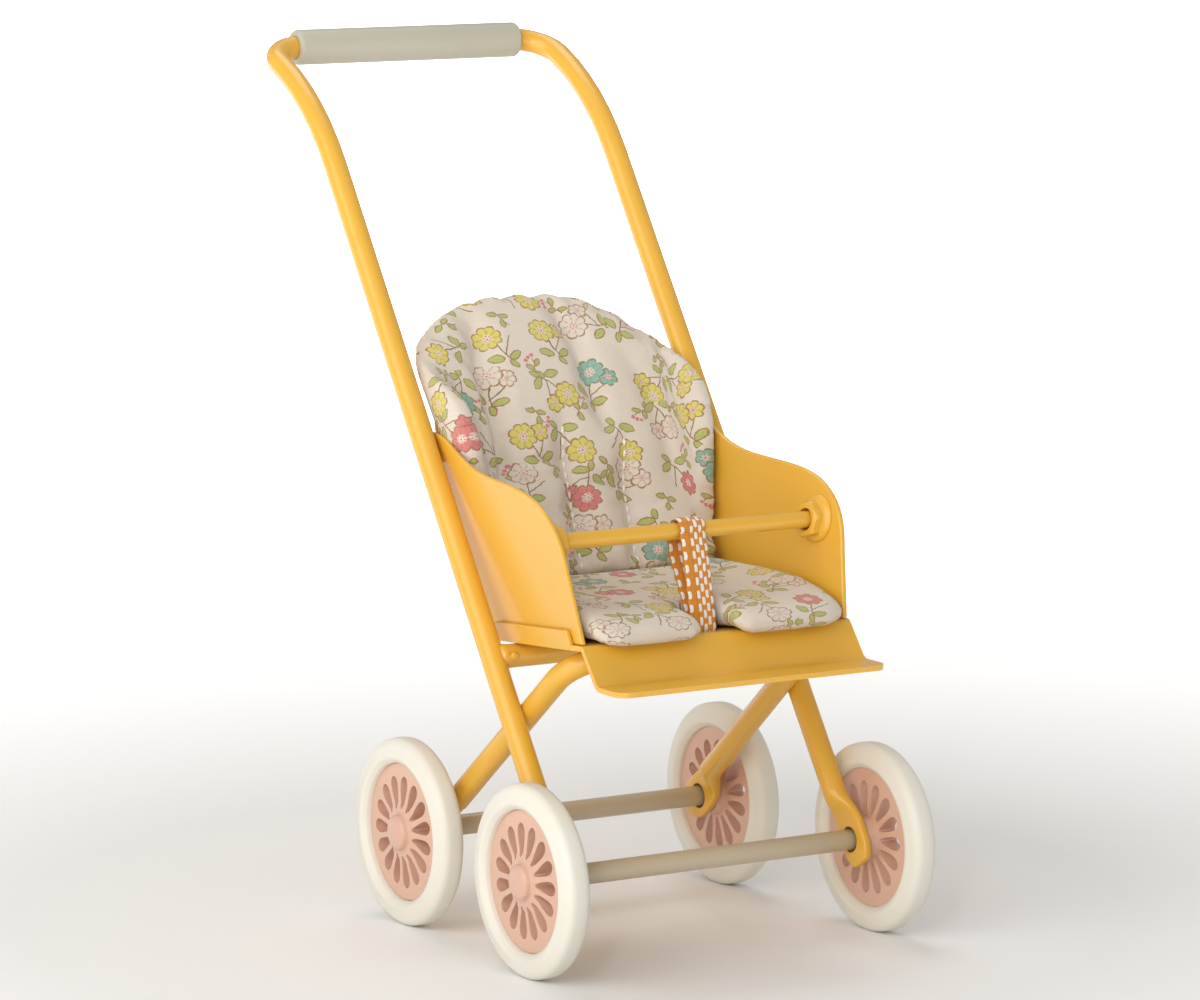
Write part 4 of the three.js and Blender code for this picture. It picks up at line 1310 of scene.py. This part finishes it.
# %% The back pad's cut and lie
HEAD_CUT = ((0, 137.0), (7.5, 136.4), (13.8, 134.8), (19.2, 132.2), (23.8, 129.0), (28.4, 124.6))
FOOT_CUT = ((27.4, 69.0), (25.6, 67.4), (22.5, 66.8), (0, 66.6))
WALL_DEPTH = ((66, 0.8), (75, 3.2), (85, 7.6), (94, 11.4), (101, 13.0), (107, 12.0), (113, 8.6), (119, 4.0),
              (123, 1.6))
MIDDLE_LIE = ((60, -2.4), (112, -2.4), (122, -3.2), (131, -5.0), (138, -7.0))
CORNER, TURN_MOST = 6.0, math.radians(86)  # how round the cloth turns from the back up the side panels
QUILT_LINES = (((-7.0, 67.5), (-6.2, 71), (-5.0, 78.5), (-3.1, 90.5), (-1.5, 101.6), (-1.4, 106)),
               ((7.1, 68), (7.4, 71), (8.3, 77.2), (10.0, 87.1), (12.3, 97.6), (12.4, 100)),
               ((-18.9, 90), (-17.6, 100), (-16.8, 109.5), (-16.3, 116.3), (-14.2, 124.6), (-12.7, 134)),
               ((9.4, 100), (8.5, 113.3), (8.2, 122.5), (6.1, 131.8), (3.4, 136)),
               ((21.5, 86), (22.6, 98), (21.6, 109), (18.6, 120)))
QUILT_DEPTH = (1.0, 1.0, 0.95, 0.8, 0.4)
STITCHED = ((67.5, 101.5), (68, 98))


def along_table(table, at):
    return float(np.interp(at, [row[0] for row in table], [row[1] for row in table]))


def line_x(line, distance):
    return along_table([(d, x) for x, d in line], distance)


def quilt_pinch(x, distance):
    """How much the quilting holds the filling down here: 0 nowhere, 1 on a stitched line."""
    pinch = 0.0
    for line, depth in zip(QUILT_LINES, QUILT_DEPTH):
        low, high = line[0][1], line[-1][1]
        fade = min(1.0, max(0.0, (distance - low + 3) / 6)) * min(1.0, max(0.0, (high + 2 - distance) / 14))
        away = abs(x - line_x(line, distance)) / 3.0
        pinch = max(pinch, depth * fade * math.exp(-away * away * 1.6))
    return pinch


FULL_BACK = 5.2
EDGE_ROLL = 4.6
FRONT_SHARE, REAR_SHARE = 0.62, 0.30
RUFFLE_FROM = 118  # the sewn edge of the head is slightly wavy above here


def roll(edge, width):
    """A seam's round edge: 0 on the seam, 1 once it is `width` away."""
    return math.sqrt(1 - (1 - min(edge / width, 1.0)) ** 2)


def inner_wall(distance):
    """How far out the cloth's middle layer can lie between the panels, up the slope."""
    forward = along_table(MIDDLE_LIE, distance) + along_table(WALL_DEPTH, distance) / 2
    return min(across_seat(distance, forward) - 1.3, 31.6)


def across_pad(u, distance):
    """Where `u` millimetres of cloth from the middle lies: x, how far forward, and which way is up."""
    bend_x = inner_wall(distance) - CORNER
    past = abs(u) - bend_x
    side = math.copysign(1, u)
    if past <= 0:
        return u, 0.0, (0.0, 1.0)
    turn = min(past / CORNER, TURN_MOST)
    beyond = max(0.0, past - CORNER * TURN_MOST)
    x = bend_x + CORNER * math.sin(turn) + beyond * math.cos(turn)
    forward = CORNER * (1 - math.cos(turn)) + beyond * math.sin(turn)
    return side * x, forward, (-side * math.sin(turn), math.cos(turn))


def cloth_to_wall_edge(distance):
    """Half the width of cloth that reaches the wall's front edge."""
    depth = along_table(WALL_DEPTH, distance)
    turn = math.acos(max(1 - depth / CORNER, math.cos(TURN_MOST)))
    return inner_wall(distance) - CORNER + CORNER * turn + max(0.0, depth - CORNER)


back_side = [*HEAD_CUT, *[(cloth_to_wall_edge(d), d) for d in range(121, 70, -3)], *FOOT_CUT]
back_cut = back_side + [(-x, d) for x, d in back_side[-2:0:-1]]


def on_back(u, distance, edge, face):
    """The front (face 1) or rear (face -1) of the back pad."""
    x, forward, (out_x, out_forward) = across_pad(u, distance)
    rise = roll(edge, EDGE_ROLL)
    stuffing = FULL_BACK * rise * (1 - 0.88 * quilt_pinch(u, distance))
    thick = FRONT_SHARE * stuffing if face == 1 else -REAR_SHARE * FULL_BACK * rise
    forward += along_table(MIDDLE_LIE, distance)
    if distance > RUFFLE_FROM:
        forward += 0.4 * math.sin(u * 0.9 + 0.6) * math.exp(-((edge - 1.5) / 2.2) ** 2)
    return up_slope(x + out_x * thick, distance, forward + out_forward * thick)


back_pad, cut_points, on_rim, under = sewn_pad("sewn_back_pad", back_cut, on_back, lambda u, v, edge: (u, v))
held = {i: 1.0 for i in under}
for i, (x, distance) in enumerate(cut_points):
    pinch = max(quilt_pinch(x, distance) - 0.55, 0) / 0.45
    if pinch > 0.45 and not on_rim[i]:
        held[i] = min(1.0, pinch)
fill_pad(back_pad, held, 2.2, -0.05, 1.3)
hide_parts("back_pad")
smooth_cloth(back_pad)

# %% [markdown]
# The seat of the insert is the same cloth, with two lobes that droop over the fold of the
# footrest and a slot between them for the strap. It is stuffed firmer and rounder at the front,
# and its side edges ride up the flaring panels.

# %% The seat pad's cut and lie
NOTCH_MIDDLE, NOTCH_HALF, NOTCH_Y = -1.0, 4.0, -24.4
SEAT_REAR, SEAT_FRONT = 10.0, -37.0


def seat_half(y):
    return panel_x(y, pan_top(y) + 3) - SHEET - 0.35


SEAT_ROLL = 3.6
TOP_LIE = ((-40, 70.9), (-36.5, 71.7), (-33, 72.5), (-29, 73.1), (-24, 73.7), (-14, 74.5), (-4, 74.9),
           (10, 75.6))
UNDER_LIE = ((-40, 66.3), (-36, 66.9), (-33.5, 67.9), (-31, 68.3), (-24, 67.6), (0, 65.3), (8, 64.7))
LOBE_CORNER, NOTCH_CORNER, NOTCH_END = 5.5, 3.6, 2.2  # radii of the cut's round corners
front_half = seat_half(-30) - 0.6


def seat_side(side):
    """One side of the cut, from the rear corner round the lobe to the middle of the notch."""
    notch = NOTCH_MIDDLE * side + NOTCH_HALF
    points = [(seat_half(SEAT_REAR) - 1.5, SEAT_REAR), *[(seat_half(y), y) for y in (-8, -20, -27)]]
    points += arc((front_half - LOBE_CORNER, SEAT_FRONT + LOBE_CORNER), LOBE_CORNER, 0, -90, 6)
    points.append((16, SEAT_FRONT - 0.25))
    points += arc((notch + NOTCH_CORNER, SEAT_FRONT + NOTCH_CORNER), NOTCH_CORNER, -90, -180, 6)
    points += [(notch, -30)] + arc((notch - NOTCH_END, NOTCH_Y - NOTCH_END), NOTCH_END, 0, 90, 4)
    return [(side * x, y) for x, y in points]


def on_seat(x, y, edge, face):
    """The top (face 1) or underside (face -1) of the seat pad."""
    top, low = along_table(TOP_LIE, y), along_table(UNDER_LIE, y)
    ride_up = max(0.0, min(1.0, (y + 34) / 14)) * (abs(x) / seat_half(y)) ** 5 * 3.1
    seam = low * 0.52 + top * 0.48 + ride_up * 0.9
    dimple = 0.7 * math.exp(-(((x - NOTCH_MIDDLE) / 4.5) ** 2)) * math.exp(-(((y + 20) / 5) ** 2))
    target = top + ride_up * 0.8 - dimple if face == 1 else low + ride_up * 0.25
    return place(x, y, seam + (target - seam) * roll(edge, SEAT_ROLL))


def on_seat_cloth(x, y, edge):
    """The print runs on down the rounded front, so cloth there is longer than it is deep in plan."""
    in_front = min(max((-28 - y) / 5, 0.0), 1.0)
    return x, y - 3.4 * in_front * (1 - min(edge / SEAT_ROLL, 1.0)) ** 2


seat_pad, _, _, under = sewn_pad("sewn_seat_pad", seat_side(1) + seat_side(-1)[::-1], on_seat, on_seat_cloth)
fill_pad(seat_pad, {i: 1.0 for i in under}, 1.6, -0.045, 1.1)
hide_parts("seat_pad")
smooth_cloth(seat_pad)

# %% [markdown]
# The quilting is sewn in white thread. Each visible stitch is a short, slightly sunk capsule of thread
# that lies on the cloth, so the stitches are laid after the pad is filled.

# %% Quilting stitches
thread_white = plastic_recipe("white_thread", srgb(244, 240, 230), srgb(232, 226, 212), 0.8, 0.12, 0.02)

STITCH, STITCH_GAP, THREAD_RADIUS = 1.6, 0.8, 0.27
THREAD_SWELL = ((0.0, 0.25), (0.08, 0.75), (0.25, 1.0), (0.5, 1.05), (0.75, 1.0), (0.92, 0.75), (1.0, 0.25))


def stitch(start, end, normal, radius):
    """One capsule of thread, arched a little over the cloth."""
    way = (end - start).normalized()
    out = way.cross(normal).normalized()
    rings = []
    for share, swell in THREAD_SWELL:
        lift = normal * (radius * (0.9 * math.sin(math.pi * share) - 0.25))
        thick = radius * swell
        rings.append(ring(start + (end - start) * share + lift, normal, out, thick, thick, sides=8))
    return skin(rings)


surface = BVHTree.FromObject(back_pad, bpy.context.evaluated_depsgraph_get())
to_world = back_pad.matrix_world
towards_front = (up_slope(0, 0, 1) - up_slope(0, 0, 0)).normalized()
stitches, count = ([], []), 0
for line, (low, high) in zip(QUILT_LINES, STITCHED):
    at = low + 1
    while at + STITCH < high:
        above = [up_slope(line_x(line, distance), distance, 14) for distance in (at, at + STITCH)]
        hits = [surface.ray_cast(to_world.inverted() @ spot, -towards_front) for spot in above]
        if all(hit[0] is not None for hit in hits):
            start, end = [to_world @ hit[0] for hit in hits]
            normal = (hits[0][1] + hits[1][1]).normalized()
            add_shape(stitches, stitch(start, end, normal, THREAD_RADIUS * MM))
            count += 1
        at += STITCH + STITCH_GAP
make_piece("quilting_stitches", stitches, thread_white, slot="printed_cotton")
print("stitches", count)

# %% [markdown]
# The light is a plain studio: a pale floor that runs off to white, one large soft box from the left,
# a narrow strip that draws the bright line along the tubes, and a weaker one overhead. The floor
# glows more the further off it is, so it meets the background without an edge. Colours are shown as
# they are, with no film curve, since a curve would turn the yellow enamel towards salmon.

# %% Floor, light and camera
floor_recipe = Recipe("pale_floor", srgb(246, 246, 245), 0.8)
across_floor = floor_recipe.field(floor_recipe.vector_math("LENGTH", floor_recipe.object_place()))
far_off = (across_floor - 0.12).math("MULTIPLY", 0.8, clamp=True)
floor_recipe.shader.inputs["Emission Color"].default_value = (1, 1, 1, 1)
floor_recipe.feed("Emission Strength", far_off * 2.2)
bpy.ops.mesh.primitive_plane_add(size=8, location=(0, 0, 0))
floor = bpy.context.object
floor.name = "floor"
floor.data.materials.append(floor_recipe.material)

world = bpy.data.worlds.new("studio")
bpy.context.scene.world = world
world.use_nodes = True
background = world.node_tree.nodes["Background"]
background.inputs["Color"].default_value = (1.0, 0.985, 0.965, 1)
background.inputs["Strength"].default_value = 0.42

HEART = Vector((0, 0, 0.09))
WARM_WHITE = (1.0, 0.98, 0.95)
SOFT_BOXES = (
    # name, place in metres, width, height, watts
    ("left_soft_box", (-0.88, -0.3, 0.5), 0.9, 0.9, 5.6),
    ("strip_light", (-0.62, -0.78, 0.4), 0.05, 0.7, 2.2),
    ("top_soft_box", (0.1, 0.3, 0.9), 0.5, 0.5, 2.1),
)
for name, where, width, height, watts in SOFT_BOXES:
    light = bpy.data.lights.new(name, "AREA")
    light.shape = "RECTANGLE"
    light.size, light.size_y, light.energy, light.color = width, height, watts, WARM_WHITE
    lamp = bpy.data.objects.new(name, light)
    lamp.location = where
    lamp.rotation_euler = (HEART - Vector(where)).to_track_quat("-Z", "Y").to_euler()
    bpy.context.scene.collection.objects.link(lamp)

CAMERA = place(-568.55, -938.48, 250.96)
LOOK = Vector((0.50706, 0.84979, -0.14404))
ROLL = math.radians(-0.155)
LENS, SENSOR = 159.24, 36
NEAREST, FURTHEST = 0.01, 20
camera_data = bpy.data.cameras.new("camera")
camera_data.sensor_width, camera_data.lens = SENSOR, LENS
camera_data.clip_start, camera_data.clip_end = NEAREST, FURTHEST
camera = bpy.data.objects.new("camera", camera_data)
camera.matrix_world = (Matrix.Translation(CAMERA) @ LOOK.to_track_quat("-Z", "Y").to_matrix().to_4x4()
                       @ Matrix.Rotation(ROLL, 4, "Z"))
bpy.context.scene.collection.objects.link(camera)
bpy.context.scene.camera = camera
bpy.context.scene.view_settings.view_transform = "Standard"
